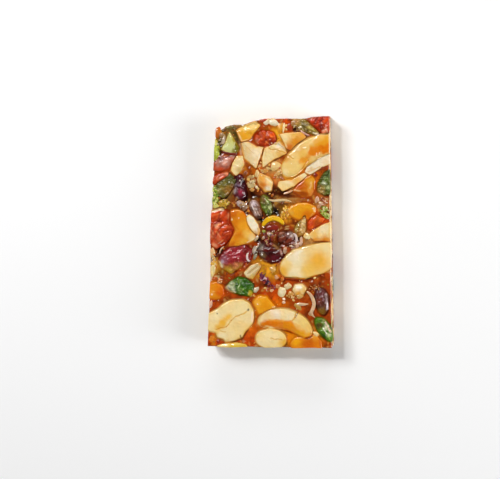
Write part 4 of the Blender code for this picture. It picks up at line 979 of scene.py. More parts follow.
def nearest_piece(x, y, pieces):
    """For places of a face: how far outside the nearest piece they lie, which one that is, and how
    strong the brown line and painted shade round each piece are, most on its shaded side."""
    away = np.full(len(x), 99.0)
    owner = np.zeros(len(x), dtype=int)
    line = np.zeros(len(x))
    for k, p in enumerate(pieces):
        reach = p["reach"].max() + 3.0 + (4.0 if p["sweep"] else 0.0)
        near = np.flatnonzero((np.abs(x - p["x"]) < reach) & (np.abs(y - p["y"]) < reach))
        out = -depth_inside(p, x[near], y[near])
        strength = p["outline"] * (0.25 + 0.75 * shaded_side(p, x[near], y[near]))
        strength = strength * np.exp(-((out - 0.14) / 0.27) ** 2)
        line[near] = np.maximum(line[near], strength)
        closer = out < away[near]
        away[near[closer]] = out[closer]
        owner[near[closer]] = k
    return away, owner, line


# The colours that caramel goes through as it is boiled, and as bits of fruit and nut stain it; deep
# and green also serve as painted shade, in the hollows and under the green shards.
SHADES = {"deep": "#3A1808", "brown": "#80380E", "rust": "#AA420C", "red": "#CC480A",
          "orange": "#DF6E0C", "gold": "#EAA024", "tan": "#C48C4A", "olive": "#76602A",
          "amber": "#E2800C", "umber": "#8E4A0E", "green": "#3A4210", "honey": "#C88438"}

# Where the caramel of the shown face is thin and bright or thick and dark: x, y, reach, shade. The
# deep ones in the dark gaps between pieces and the green ones under the heaps of green shards are
# painted shade.
PATCHES = (
    (-12.5, 38.6, 3.0, "olive"), (-18.5, 37.2, 1.8, "gold"), (4.0, 34.6, 2.6, "gold"),
    (8.0, 39.2, 2.2, "red"), (11.0, 38.0, 2.4, "brown"), (-7.2, 23.2, 2.2, "orange"),
    (-7.6, 20.2, 1.8, "brown"), (2.4, 22.8, 2.2, "tan"), (1.0, 21.0, 1.4, "orange"),
    (8.6, 22.0, 2.4, "gold"), (1.4, 14.0, 2.0, "deep"), (6.4, 13.8, 2.4, "brown"),
    (10.6, 13.4, 2.6, "umber"), (14.5, 12.6, 2.8, "rust"), (3.4, 12.2, 1.3, "honey"),
    (7.0, 12.0, 1.3, "honey"), (10.4, 12.0, 1.2, "honey"), (8.4, 15.6, 1.4, "honey"),
    (-19.6, 13.6, 1.8, "green"), (21.2, 7.6, 1.6, "green"), (15.6, 17.6, 3.0, "orange"),
    (-4.0, 12.8, 3.4, "brown"), (2.6, 8.4, 2.4, "deep"), (5.8, 7.4, 2.0, "gold"),
    (19.0, 6.0, 2.6, "red"), (10.8, 3.6, 2.0, "brown"), (-0.8, 1.6, 3.0, "brown"),
    (13.6, -4.0, 2.6, "tan"), (10.2, -4.6, 2.4, "rust"), (-1.6, -13.2, 2.8, "gold"),
    (-20.6, -9.4, 2.4, "rust"), (-19.0, -12.6, 2.2, "gold"), (-18.4, -16.0, 2.8, "rust"),
    (-14.0, -24.4, 3.0, "rust"), (-2.2, -19.6, 2.8, "rust"), (0.6, -22.4, 2.6, "red"),
    (4.6, -27.4, 3.4, "orange"), (8.4, -25.0, 3.2, "rust"), (15.0, -21.6, 2.6, "rust"),
    (19.6, -18.0, 2.8, "rust"), (14.4, -29.6, 2.2, "rust"), (-7.4, -30.6, 2.0, "orange"),
    (-8.6, -40.2, 3.0, "red"), (-5.0, -34.6, 3.0, "orange"), (5.0, -35.0, 3.0, "amber"),
    (9.4, -37.8, 3.4, "amber"), (16.0, -38.6, 3.0, "gold"), (-21.6, -40.8, 2.4, "red"),
    (21.6, -41.0, 2.4, "rust"), (21.6, 12.4, 2.4, "rust"), (-17.6, 12.6, 2.8, "olive"),
    (-9.6, 12.6, 2.6, "deep"), (-13.0, 10.4, 2.0, "brown"), (19.4, 10.8, 2.2, "tan"),
    (-21.0, -17.0, 2.0, "orange"), (17.0, -34.0, 2.6, "rust"),
)
# Where the caramel of the shown face sinks between the nuts, and is painted darker there as shade:
# x, y, reach, depth in mm.
HOLLOWS = (
    (-17.6, 33.4, 1.5, 1.0), (-18.0, 29.6, 1.3, 1.0), (-6.0, 14.2, 2.4, 0.7),
    (5.5, 14.6, 2.6, 0.6), (2.6, 7.8, 1.5, 1.0), (-2.4, 5.2, 1.3, 1.0), (-18.3, -6.6, 1.5, 0.9),
    (-4.0, -2.6, 1.5, 1.0), (-21.0, -9.2, 1.4, 0.6), (-18.4, -15.8, 1.8, 0.5),
    (-1.4, -19.4, 1.6, 0.7), (10.6, 38.0, 1.5, 0.8), (13.2, 35.9, 1.4, 0.7),
    (-8.6, 12.0, 1.4, 0.8), (4.0, -4.0, 1.2, 0.8), (11.0, -2.6, 1.4, 0.6), (-16.4, 12.8, 1.2, 0.7),
    (16.4, -19.6, 1.6, 0.4), (-9.0, 7.4, 1.2, 0.8), (0.6, 1.0, 1.4, 0.5),
)
# Where it runs in streaks of another colour: from x, y to x, y, reach, colour, strength. The near
# black ones in the hollows, under the seed at the broken end and under the green shards, and the
# dark red ones along the lower edge of almond_east, are painted shade.
STREAKS = (
    (2.4, 14.6, 4.4, 14.6, 0.7, "#4E1C08", 0.7), (4.4, 14.4, 9.0, 13.8, 0.9, "#5E2006", 0.8),
    (9.0, 13.2, 14.6, 12.4, 0.8, "#8E3A08", 0.7), (4.6, 12.5, 10.6, 12.6, 0.35, "#C89450", 0.8),
    (10.6, 12.6, 15.4, 11.8, 0.35, "#B8702C", 0.8), (2.6, 11.8, 6.4, 11.4, 0.3, "#D8C098", 0.7),
    (8.0, 14.4, 12.0, 14.0, 0.3, "#B8662C", 0.7), (16.4, 13.4, 17.4, 11.2, 0.35, "#D89840", 0.8),
    (17.4, 14.4, 17.0, 20.2, 0.4, "#B04E10", 0.8),
    (-21.4, -7.0, -21.8, -17.4, 0.45, "#F2DDB6", 0.8),
    (-19.8, -9.8, -20.2, -14.4, 0.9, "#DDA23C", 0.7),
    (-19.6, -8.0, -18.4, -6.0, 0.5, "#3A1204", 0.9), (11.2, 36.6, 13.4, 35.4, 0.8, "#4E1606", 0.9),
    (9.4, 37.8, 11.4, 37.0, 0.5, "#3A1A08", 0.8), (-10.6, 34.6, -9.9, 28.8, 0.5, "#E4B488", 0.7),
    (-12.2, 36.8, -10.6, 33.2, 0.6, "#4A3A10", 0.8), (-9.6, 26.8, -8.4, 22.6, 0.6, "#B4701C", 0.7),
    (-16.4, 33.6, -17.8, 31.4, 0.5, "#2C3008", 0.9),
    (-18.2, 14.8, -17.2, 13.4, 0.6, "#23300A", 0.9),
    (3.4, -17.2, 13.4, -17.6, 0.45, "#6A1A06", 0.9),
    (13.4, -17.6, 20.4, -15.2, 0.4, "#7A2408", 0.8),
    (-4.6, -31.0, -6.4, -38.0, 0.8, "#C8500C", 0.6),
    (-20.6, -38.4, -21.4, -41.6, 0.9, "#D8881C", 0.7),
    (-7.8, 25.4, -6.9, 22.6, 0.9, "#86340E", 0.8), (-9.6, 5.4, -7.8, 7.6, 0.4, "#2A1806", 0.7),
    (-3.4, 6.4, -2.0, 3.8, 0.8, "#221004", 0.8), (2.0, 9.2, 3.6, 6.8, 0.7, "#241208", 0.8),
    (-6.2, 14.2, -2.4, 13.0, 0.7, "#4A1A08", 0.8),
)
# Blisters and drops, raised a little and painted lighter as glints: x, y, reach.
GLINT_BLISTERS = (
    (-10.5, 19.4, 0.32), (-4.4, 16.8, 0.36), (-8.6, 7.4, 0.34), (-0.7, 6.7, 0.28),
    (-13.7, 5.1, 0.36), (-11.1, 5.6, 0.22), (-3.3, -0.1, 0.28), (0.9, -21.2, 0.42),
    (5.2, -24.3, 0.34), (5.1, -25.4, 0.32), (15.7, -17.8, 0.32), (-18.6, -17.8, 0.34),
    (-11.5, -9.3, 0.22), (-21.6, -22.8, 0.36), (-4.5, -26.3, 0.26), (1.4, 32.9, 0.26),
    (-9.0, 19.9, 0.3), (17.2, -20.4, 0.24), (-14.2, -6.4, 0.2), (4.9, -16.9, 0.24),
    (11.8, -17.9, 0.22), (-6.9, 24.2, 0.3), (-2.4, 21.2, 0.26), (-5.4, 25.2, 0.24),
    (16.2, 9.0, 0.2), (-19.2, -25.0, 0.24), (8.6, 25.4, 0.2), (14.6, 12.0, 0.24),
    (-8.0, -24.6, 0.22),
)


def glint_blisters_on(x, y):
    """How strongly a blister and its painted glint show at each place."""
    total = np.zeros(len(x))
    for px, py, reach in GLINT_BLISTERS:
        total = np.maximum(total, smooth(1.25 * reach, 0.55 * reach, np.hypot(x - px, y - py)))
    return total


# Where the caramel ran clear of fine bits: x, y, reach, how clear.
CALM = (
    (9.0, 13.6, 5.0, 1.0), (2.0, -23.0, 3.6, 0.8), (-13.0, -25.6, 4.0, 1.0),
    (6.0, -27.4, 4.0, 0.9), (-8.0, -38.0, 3.6, 1.0), (-20.0, -9.0, 2.6, 0.6),
    (13.0, -30.0, 3.0, 0.8),
)

# Fine bits of nut and fruit sunk in the caramel, as their colours show through it.
FLECKS = ("#E8B868", "#D88A2C", "#F0CE8C", "#8A3A12", "#B85A18", "#6E2A10", "#C89A48", "#E0A040")


def spots(x, y, places):
    """How strong round patches are at each place: x, y, reach, strength."""
    total = np.zeros(len(x))
    for px, py, reach, strength in places:
        total = np.maximum(total, strength * np.exp(-((x - px) ** 2 + (y - py) ** 2) / reach ** 2))
    return total


def caramel_tint(x, y, shown):
    """The colour of the caramel over a face: patches of a few shades that run into each other, with
    painted shade in the dark gaps of the shown face and painted glints on its blisters.
    """
    at = at_level(x, y, 21.0 if shown else 83.0)
    drift_x, drift_y = drifted(x, y, at, 1.2, 3.5, 50)
    if shown:
        tint = 0.05 * np.tile(linear(SHADES["rust"]), (len(x), 1))
        total = np.full(len(x), 0.05)
        for px, py, reach, shade in PATCHES:
            share = np.exp(-((drift_x - px) ** 2 + (drift_y - py) ** 2) / reach ** 2)
            tint += share[:, None] * linear(SHADES[shade])
            total += share
        tint /= total[:, None]
    else:
        run = 0.5 + 0.7 * layered(at, 7.0, 2, 52)
        order = np.stack([linear(SHADES[k]) for k in ("brown", "rust", "red", "orange", "gold")])
        along = np.clip(run, 0.0, 0.999) * (len(order) - 1)
        base = along.astype(int)
        tint = mixed(order[base], order[base + 1], along - base)
    tint = tint * (1.0 + 0.5 * layered(at, 2.2, 3, 53))[:, None]
    wisp = np.exp(-(layered(at * (1.0, 0.7, 1.0), 3.2, 2, 56) / 0.05) ** 2)
    tint = tint * (1.0 - 0.55 * wisp * smooth(-0.2, 0.4, ripple(at, 5.0, 57)))[:, None]
    gap, owner = cells(np.stack([drift_x, drift_y, at[:, 2]], axis=1), 1.5, 54)
    flecks = np.stack([linear(c) for c in FLECKS])[(owner >> 9) % len(FLECKS)]
    busy = smooth(-0.25, 0.35, ripple(at, 6.0, 55)) * (1.0 - spots(x, y, CALM))
    tint = mixed(tint, flecks, busy * 0.75 * smooth(0.05, 0.3, gap) * (owner % 100 < 38))
    if shown:
        for *stroke, reach, colour, strength in STREAKS:
            share = strength * stroke_share(at * (1, 1, 0.1), stroke, reach)
            tint = mixed(tint, linear(colour), share)
        # Painted glints on the blisters.
        tint = mixed(tint, linear("#FBE6D2"), 0.8 * glint_blisters_on(x, y))
    return np.clip(tint, 0.0, 1.0)


def caramel_face(x, y, pieces, shown):
    """The caramel of a face: how far below the face it lies, in mm, its colour, how thick it is
    over a nut's rim, in mm, and its shade."""
    at = at_level(x, y, 3.0 if shown else 71.0)
    away, owner, line = nearest_piece(x, y, pieces)
    crest = np.array([p["crest"] + p["proud"] for p in pieces])[owner]
    hollow = spots(x, y, HOLLOWS) if shown else smooth(0.35, 0.8, ripple(at, 3.0, 14))
    swell = ripple(at, 4.5, 5)
    busy = 0.25 + 0.75 * smooth(-0.3, 0.4, ripple(at, 8.0, 15))
    fine = busy * (0.13 * ripple(at, 1.7, 6) + 0.06 * ripple(at, 0.8, 7))
    sunk = 0.45 - 0.12 * swell - fine + 1.0 * hollow
    dry = smooth(0.1, 0.6, ripple(at, 4.2, 8) + 0.6 * hollow)
    contact = crest + 0.24 + 0.3 * dry
    reach = 0.7 + 0.2 * ripple(at, 3.0, 9)
    rise = np.exp(-np.maximum(away, 0.0) / reach) * (1.0 - 0.4 * dry)
    sunk = sunk + (contact - sunk) * rise
    sunk = np.where(away < -1.2, np.maximum(sunk, 1.3), sunk)
    tint = caramel_tint(x, y, shown)
    glaze = np.zeros(len(x))
    for k, p in enumerate(pieces):
        over = np.flatnonzero((owner == k) & (away < 0.3))
        share = smooth(0.3, -0.15, away[over])
        flesh, _ = paint(p, at[over], -away[over], np.zeros(len(over)))
        tint[over] = mixed(tint[over], flesh, share)
        glaze[over] = share * caramel_on(p, at[over], -away[over], np.zeros(len(over)))
    # Shade: lighter on the raised ridges of the fine relief, as painted light, and darker in the
    # hollows and along the line round each piece, most on its shaded side, as painted shade.
    crease = smooth(0.05, 0.32, fine + 0.1 * swell)
    outline = line * smooth(-0.6, 0.3, ripple(at, 3.4, 13))
    shade = 0.86 + 0.25 * crease - 0.85 * hollow - 0.78 * outline
    if shown:
        # The blisters stand up a little, and their shade is raised as a painted glint.
        sunk = sunk - 0.2 * glint_blisters_on(x, y)
        shade = shade + 0.3 * glint_blisters_on(x, y)
    return np.maximum(sunk, 0.12), np.clip(tint, 0.0, 1.0), glaze, np.clip(shade, 0.08, 1.1)


# What the knife laid open at the sides: mostly pale nut, with a little green and red.
CUT_COLOURS = ("#F5E8CC", "#F0DDB4", "#EED6A4", "#E9C98E", "#F3E3C0", "#F1DFC0", "#F4E6C8",
               "#EBCF9C", "#A8A850", "#C46A3C", "#F2E0B8", "#E6C384")


def cut_face(side, outward, middle):
    """Moves the points of the cut sides in or out where the knife broke the nuts, and gives their
    colour, how thick the caramel on them is, their shade, and what share of them is nut: large and
    small sections with uneven veins of caramel between them. middle is 0 at either face."""
    bent = side + np.stack([ripple(side, 2.6, seed) for seed in (36, 37, 38)], axis=1)
    gap, owner = cells(bent * (0.55, 0.55, 1.0), 4.4, 31)
    fine_gap, fine_owner = cells(bent * (0.7, 0.7, 1.0), 2.1, 32)
    large = owner % 100 < 66
    vein = 0.055 + 0.13 * smooth(-0.3, 0.9, ripple(side, 3.4, 39))
    nut = np.where(large, smooth(0.1 * vein, vein, gap),
                   smooth(0.4 * vein, 1.7 * vein, fine_gap) * (fine_owner % 100 < 74))
    owner = np.where(large, owner, fine_owner)
    crumbly = layered(side, 0.9, 3, 33)
    lift = (0.24 * nut - 0.28 + 0.14 * crumbly) * (1.0 + 0.4 * ((owner >> 7) % 5 / 4.0 - 0.5))
    side[:, :2] += outward * np.clip(lift, -0.55, 0.04)[:, None]
    side[:, 2] += 0.05 * ripple(side, 1.2, 34) * middle
    creams = np.stack([linear(c) for c in CUT_COLOURS])
    pick = creams[(owner >> 9) % len(CUT_COLOURS)] * (1.0 + 0.1 * crumbly)[:, None]
    toasted = smooth(0.3, 0.04, np.where(large, gap, 0.7 * fine_gap))[:, None]
    pick = pick * (1.0 - toasted * (0.14, 0.32, 0.55))
    pooled = smooth(-0.7, 0.7, ripple(side, 1.8, 35))
    dark = mixed(linear("#7E300A"), linear("#D68A34"), pooled)
    thick = (1.0 - nut) * (0.6 + 0.3 * ripple(side, 2.0, 40)) + nut * 0.05
    # Painted shade: darker in the sunken caramel veins and where the crumbly nut dips in.
    shade = 1.0 - 0.35 * (1.0 - nut) - 0.12 * np.clip(-crumbly, 0, 1)
    return mixed(dark, pick, nut), thick, shade, nut


def caramel_block(across=138, along=260, rows=32):
    """The caramel as one closed shell: both faces, and the cut sides between them."""
    s, t = np.meshgrid(np.linspace(0, 1, across + 1), np.linspace(0, 1, along + 1), indexing="xy")
    s = s.ravel()
    t = t.ravel()
    y = -FOOT + (top_edge(np.zeros(1)) + FOOT) * t
    x = left_edge(y) + EDGE_INSET + (right_edge(y) - left_edge(y) - 2 * EDGE_INSET) * s
    low = bottom_edge(x) + EDGE_INSET
    y = low + (top_edge(x) - EDGE_INSET - low) * t
    sunk, front_tint, glaze, shade = caramel_face(x, y, SHOWN, True)
    rise, back_tint, glaze_back, shade_back = caramel_face(x, y, BACK, False)
    rise = np.minimum(rise, 1.5)
    top = np.stack([x, y, BAR_THICK - sunk], axis=1)
    under = np.stack([x, y, np.maximum(rise, 0.06)], axis=1)
    columns = across + 1
    faces = grid_faces(along + 1, columns, False)
    count = len(top)
    rim = np.concatenate([
        np.arange(across), across + columns * np.arange(along),
        columns * along + np.arange(across, 0, -1), columns * np.arange(along, 0, -1)])
    rim_top = top[rim]
    rim_under = under[rim]
    outward = np.roll(rim_top, -1, axis=0) - np.roll(rim_top, 1, axis=0)
    outward = np.stack([outward[:, 1], -outward[:, 0]], axis=1)
    outward /= np.linalg.norm(outward, axis=1)[:, None]
    strips = []
    for k in range(1, rows):
        strips.append(rim_top + (rim_under - rim_top) * k / rows)
    side = np.concatenate(strips)
    normal = np.tile(outward, (rows - 1, 1))
    middle = 1.0 - np.abs(np.repeat(np.arange(1, rows), len(rim)) / rows - 0.5) * 2.0
    side_flesh, side_thick, side_shade, nut = cut_face(side, normal, middle)
    points = np.concatenate([top, under, side])
    quads = [faces, faces[:, ::-1] + count]
    rings = np.concatenate([rim, count * 2 + np.arange(len(side)), rim + count])
    quads.append(rings[grid_faces(rows + 1, len(rim), True)][:, ::-1])
    fields = {
        "flesh": np.concatenate([front_tint, back_tint, side_flesh]),
        "glaze": np.concatenate([glaze, glaze_back, side_thick]),
        "shade": np.concatenate([shade, shade_back, side_shade]),
        "raw": np.concatenate([np.zeros(2 * count), nut]),
    }
    return points, np.concatenate(quads), fields


# --- materials ---------------------------------------------------------------------------------

def add(tree, kind, settings=None, links=None):
    """Adds a node with its settings, and links its inputs, by name or number, to other outputs."""
    node = tree.nodes.new(kind)
    for key, value in (settings or {}).items():
        if isinstance(key, int) or key in node.inputs.keys():
            node.inputs[key].default_value = value
        else:
            setattr(node, key, value)
    for key, output in (links or {}).items():
        tree.links.new(output, node.inputs[key])
    return node


# What light keeps of red, green and blue in each millimetre of caramel that it crosses.
CARAMEL_KEEPS = (0.93, 0.52, 0.12)
RAMP_REACH = 5.0  # mm of caramel at the far end of the tint ramp


# Where the knife cut through a piece, its flesh is dull and nearly bare.
RAW_ROUGH, RAW_COAT = 0.6, 0.05


def glazed(name, rough, coat, bump, bump_mm, mottle, mottle_mm, glow):
    """Food under a glaze: its own colour, tinted by the thickness of the caramel over it."""
    made = bpy.data.materials.new(name)
    made.use_nodes = True
    tree = made.node_tree
    shader = tree.nodes["Principled BSDF"]
    place = add(tree, "ShaderNodeTexCoord").outputs["Object"]
    flesh = add(tree, "ShaderNodeAttribute", {"attribute_name": "flesh"}).outputs["Color"]
    glaze = add(tree, "ShaderNodeAttribute", {"attribute_name": "glaze"}).outputs["Fac"]
    shade = add(tree, "ShaderNodeAttribute", {"attribute_name": "shade"}).outputs["Fac"]
    raw = add(tree, "ShaderNodeAttribute", {"attribute_name": "raw"}).outputs["Fac"]
    uneven = add(tree, "ShaderNodeTexNoise", {"Scale": 1.0 / (mottle_mm * MM), "Detail": 4.0},
                 {"Vector": place}).outputs["Fac"]
    wider = add(tree, "ShaderNodeMapRange",
                {"From Min": 0.25, "From Max": 0.75, "To Min": 1.0 - mottle,
                 "To Max": 1.0 + mottle}, {"Value": uneven}).outputs["Result"]
    thick = add(tree, "ShaderNodeMath", {"operation": "MULTIPLY"}, {0: glaze, 1: wider})
    share = add(tree, "ShaderNodeMath", {"operation": "DIVIDE", 1: RAMP_REACH},
                {0: thick.outputs[0]})
    ramp = add(tree, "ShaderNodeValToRGB", {}, {"Fac": share.outputs[0]})
    stops = ramp.color_ramp.elements
    for position in (0.02, 0.05, 0.1, 0.18, 0.3, 0.5):
        stops.new(position)
    for stop in stops:
        mm = stop.position * RAMP_REACH
        stop.color = (*[keep ** mm for keep in CARAMEL_KEEPS], 1.0)
    tinted = add(tree, "ShaderNodeMix", {"data_type": "RGBA", "blend_type": "MULTIPLY", 0: 1.0},
                 {6: flesh, 7: ramp.outputs["Color"]})
    shaded = add(tree, "ShaderNodeVectorMath", {"operation": "SCALE"},
                 {0: tinted.outputs[2], "Scale": shade})
    tree.links.new(shaded.outputs[0], shader.inputs["Base Color"])
    roughness = add(tree, "ShaderNodeMapRange", {"To Min": rough, "To Max": RAW_ROUGH},
                    {"Value": raw})
    tree.links.new(roughness.outputs["Result"], shader.inputs["Roughness"])
    film = add(tree, "ShaderNodeMapRange", {"To Min": coat, "To Max": RAW_COAT}, {"Value": raw})
    open_to_light = add(tree, "ShaderNodeMapRange",
                        {"From Min": 0.2, "From Max": 0.8, "To Min": 0.15}, {"Value": shade})
    wet = add(tree, "ShaderNodeMath", {"operation": "MULTIPLY"},
              {0: film.outputs["Result"], 1: open_to_light.outputs["Result"]})
    tree.links.new(wet.outputs[0], shader.inputs["Coat Weight"])
    grain = add(tree, "ShaderNodeTexNoise", {"Scale": 1.0 / (bump_mm * MM), "Detail": 3.0},
                {"Vector": place}).outputs["Fac"]
    relief = add(tree, "ShaderNodeBump", {"Strength": bump, "Distance": bump_mm * MM * 0.4},
                 {"Height": grain})
    tree.links.new(relief.outputs["Normal"], shader.inputs["Normal"])
    for socket, value in {"Coat Roughness": 0.08, "Specular IOR Level": 0.18, "Coat IOR": 1.5,
                          "Subsurface Weight": glow, "Subsurface Radius": (1.0, 0.45, 0.2),
                          "Subsurface Scale": 1.2 * MM}.items():
        shader.inputs[socket].default_value = value
    return made


# Every finish of the bar: its name, roughness, share of caramel coat, strength and size of the
# bump, strength and size of the mottle in the coat, and how far light goes into it; sizes in mm.
FINISHES = {
    # Sugar boiled to the hard crack and poured hot round the nuts. It sets like glass, so its
    # glints are small and sharp, and it gets darker and redder the thicker it lies.
    "caramel": ("hard_caramel", 0.14, 1.0, 0.2, 1.1, 0.2, 1.6, 0.12),
    # Blanched, split and roasted, then drowned in the hot caramel: smooth cream flesh with a soft
    # sheen, amber where the caramel pooled on it and brown where it creeps over the rim.
    "almond": ("glazed_almond", 0.3, 0.9, 0.06, 0.7, 0.15, 2.0, 0.2),
    # Roasted in halves, oilier and smoother than the almond: broad soft glints along its bend.
    "cashew": ("glazed_cashew", 0.28, 1.0, 0.06, 0.8, 0.15, 2.2, 0.2),
    # Chopped, with the inside of the nut laid open: dull, pale and grainy under a patchy film.
    "cut_nut": ("chopped_almond", 0.38, 0.8, 0.3, 0.5, 0.35, 1.5, 0.2),
    # Shelled by hand, with some of its papery skin left: fine dents that break the glints up, and
    # purple-brown skin over green flesh.
    "pistachio": ("pistachio_kernel", 0.38, 0.5, 0.4, 0.4, 0.3, 1.0, 0.08),
    # A dry ribbed seed, coated whole: the coat is thin on its ribs, which glint in lines.
    "seed": ("olive_seed", 0.3, 1.0, 0.3, 0.5, 0.3, 1.0, 0.05),
    # Cut and dried until it is leathery, and tacky from its own sugar: deep red, with paler fibres
    # and a broad dull sheen.
    "fruit": ("dried_red_fruit", 0.42, 0.45, 0.2, 0.6, 0.25, 1.0, 0.08),
    # Dried whole, shrunk into folds and glossed with syrup: nearly black, with wet glints on the
    # ridges.
    "cranberry": ("dried_cranberry", 0.2, 0.9, 0.12, 0.6, 0.3, 1.0, 0.05),
    # Rind boiled in syrup until it is clear: bright, sticky and smooth, lit a little way in.
    "peel": ("candied_peel", 0.2, 1.0, 0.15, 0.5, 0.2, 1.2, 0.15),
}


# How many points a piece has round it and from its middle to its rim, by its size and detail.
CRACKED_GRID, BIG_GRID, SMALL_GRID = (208, 42), (136, 28), (96, 22)
BIG_FROM = 11.0  # mm
PIECE_SHARP, CRUMB_SHARP = 50, 25  # degrees


def build_pieces(finish):
    """Every nut and fruit of both faces, each in the place of its own solid."""
    for p in ALL_PIECES:
        grid = SMALL_GRID
        if max(p["long"], p["wide"]) > BIG_FROM:
            grid = CRACKED_GRID if p["cracks"] else BIG_GRID
        points, quads, fans, inner, raw = piece_shape(p, *grid)
        glaze = caramel_on(p, points, inner, raw)
        flesh, shade = paint(p, points, inner, raw)
        fields = {"flesh": flesh, "glaze": glaze, "shade": shade, "raw": raw}
        made = mesh_object("shown_" + p["name"], points, quads, fans, fields,
                           finish[p["kind"]], PIECE_SHARP)
        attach(made, "root")
        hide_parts(p["name"])


# Crumbs: x, y, length, width, turn, colour, and how far they stand above the caramel, in mm. The
# tiny pale ones at (5.2, -24.4), (5.2, -25.7), (0.8, -21.2) and (-4.4, 16.9) are pale specks that
# paint glints.
CRUMBS = (
    (2.2, 40.4, 3.6, 2.6, -5, "#E4DACA", 0.45), (-0.2, 40.6, 3.0, 2.0, 20, "#DCCFC0", 0.42),
    (4.8, 38.4, 4.4, 2.6, 80, "#DD9C2C", 0.45), (5.9, 38.6, 3.4, 0.8, 84, "#EBCF9C", 0.5),
    (10.2, 40.4, 3.4, 2.0, 20, "#A87C4C", 0.45), (7.9, 38.6, 2.9, 1.7, 85, "#A03A0C", 0.4),
    (-1.7, 41.2, 3.2, 1.1, 8, "#A4360E", 0.35), (-13.6, 38.9, 4.0, 1.6, 10, "#7A6C34", 0.45),
    (-11.8, 38.9, 2.6, 1.4, -10, "#8A6030", 0.4), (-16.0, 38.0, 2.4, 1.2, 30, "#6A4A24", 0.4),
    (-18.6, 37.0, 3.4, 2.2, 80, "#BC6A24", 0.4), (-17.0, 36.2, 2.2, 1.4, 60, "#A88868", 0.4),
    (-16.4, 34.2, 3.2, 1.3, 75, "#B8A898", 0.42), (-17.6, 33.0, 1.6, 1.0, 30, "#8A7460", 0.35),
    (-14.6, 29.4, 5.0, 1.2, -12, "#6A1E12", 0.3), (2.5, 24.4, 4.0, 3.4, 20, "#E6C488", 0.5),
    (-6.2, 18.3, 3.4, 2.4, 70, "#CDB486", 0.5), (-6.8, 20.6, 2.2, 1.4, 20, "#B08A58", 0.45),
    (-4.0, 21.7, 2.6, 2.0, 80, "#DDC08A", 0.45), (-6.2, 16.0, 1.8, 1.2, 0, "#C89A5C", 0.4),
    (4.0, 22.2, 2.2, 1.4, 40, "#D8A868", 0.45), (-20.2, 12.2, 3.0, 2.2, 70, "#A4B048", 0.4),
    (-19.6, 10.2, 2.4, 1.8, 15, "#C4C270", 0.42), (-16.6, 11.2, 3.6, 2.2, 6, "#B89028", 0.4),
    (-10.6, 10.6, 3.4, 2.4, -25, "#B4A0A2", 0.5), (-8.9, 9.5, 2.6, 1.9, 35, "#8A6A54", 0.45),
    (21.4, 6.4, 2.6, 1.8, -60, "#9CAA4C", 0.4), (5.6, 7.0, 2.8, 2.0, 70, "#D8962C", 0.4),
    (7.0, 11.4, 2.0, 1.0, 10, "#B87834", 0.4), (1.8, 1.7, 4.6, 2.4, 0, "#7E2010", 0.4),
    (14.2, -1.3, 2.9, 2.7, 80, "#E9D4A4", 0.5), (-21.2, -14.2, 4.6, 2.2, 88, "#EFDAA6", 0.5),
    (-20.9, -11.4, 2.8, 2.0, 40, "#D8A848", 0.45), (-21.4, -7.4, 3.2, 1.5, 80, "#E4BC90", 0.45),
    (-18.9, -17.8, 2.2, 1.0, 60, "#DE9A70", 0.45), (-20.6, -17.0, 2.0, 1.2, 20, "#B85A24", 0.4),
    (-19.2, -8.2, 1.8, 0.8, 30, "#6A3018", 0.4), (-2.4, -16.2, 3.4, 2.0, -38, "#5E2440", 0.42),
    (-0.8, -18.0, 2.8, 1.8, -50, "#3A1A34", 0.42), (6.8, -19.3, 3.4, 2.8, 60, "#DCC8A0", 0.48),
    (4.5, -21.5, 4.2, 2.9, 84, "#E8DCBE", 0.5), (7.8, -22.6, 2.4, 1.8, 60, "#C8924C", 0.42),
    (3.0, -19.6, 1.8, 1.2, 30, "#C88A60", 0.4), (11.6, -26.2, 4.2, 1.0, 3, "#DCC0A4", 0.5),
    (10.6, -27.3, 3.4, 1.6, -35, "#C09A50", 0.42), (16.9, -37.2, 2.4, 1.6, -30, "#ECD09A", 0.5),
    (1.4, -13.4, 2.5, 1.9, 0, "#D8B068", 0.45), (-22.2, -26.0, 3.0, 1.4, 80, "#DEB2A0", 0.4),
    (-5.0, -20.9, 2.2, 1.6, 60, "#CCC0B4", 0.5), (11.2, -23.4, 2.4, 1.4, 10, "#C8A468", 0.4),
    (17.8, 12.0, 2.6, 1.3, 80, "#D8B09C", 0.45), (19.5, 10.9, 1.8, 1.2, 0, "#DDB8A4", 0.45),
    (18.5, 9.8, 1.8, 1.0, 40, "#C08A60", 0.42), (14.7, -29.8, 2.2, 1.1, 80, "#C89C78", 0.4),
    (5.2, -24.4, 1.0, 0.9, 0, "#F0D8C8", 0.5), (5.2, -25.7, 1.1, 0.9, 0, "#EBCDB4", 0.5),
    (0.8, -21.2, 1.3, 1.0, 0, "#E6BE9C", 0.4), (-1.2, 22.8, 2.4, 1.6, 20, "#D89848", 0.4),
    (-8.6, 22.0, 2.0, 1.4, 60, "#8A4A1C", 0.35), (20.4, 24.0, 3.2, 1.2, 20, "#8A3A14", 0.3),
    (11.9, -2.9, 3.2, 1.1, 85, "#D8B4A8", 0.48), (10.4, -4.6, 2.2, 1.2, 60, "#C8A090", 0.42),
    (5.9, -6.2, 2.4, 1.2, 80, "#C0A090", 0.42), (2.6, -16.2, 1.8, 1.4, 20, "#D2A080", 0.4),
    (-22.0, -39.4, 2.8, 2.2, 80, "#D8862C", 0.35), (-4.6, -1.8, 2.2, 1.0, 60, "#C8B8A8", 0.4),
    (-4.4, 16.9, 1.1, 0.9, 0, "#F0DCC0", 0.5), (-5.6, -6.2, 2.6, 1.1, 80, "#A89A90", 0.45),
    (-5.2, -8.6, 2.2, 1.0, 70, "#8A8878", 0.42),
)
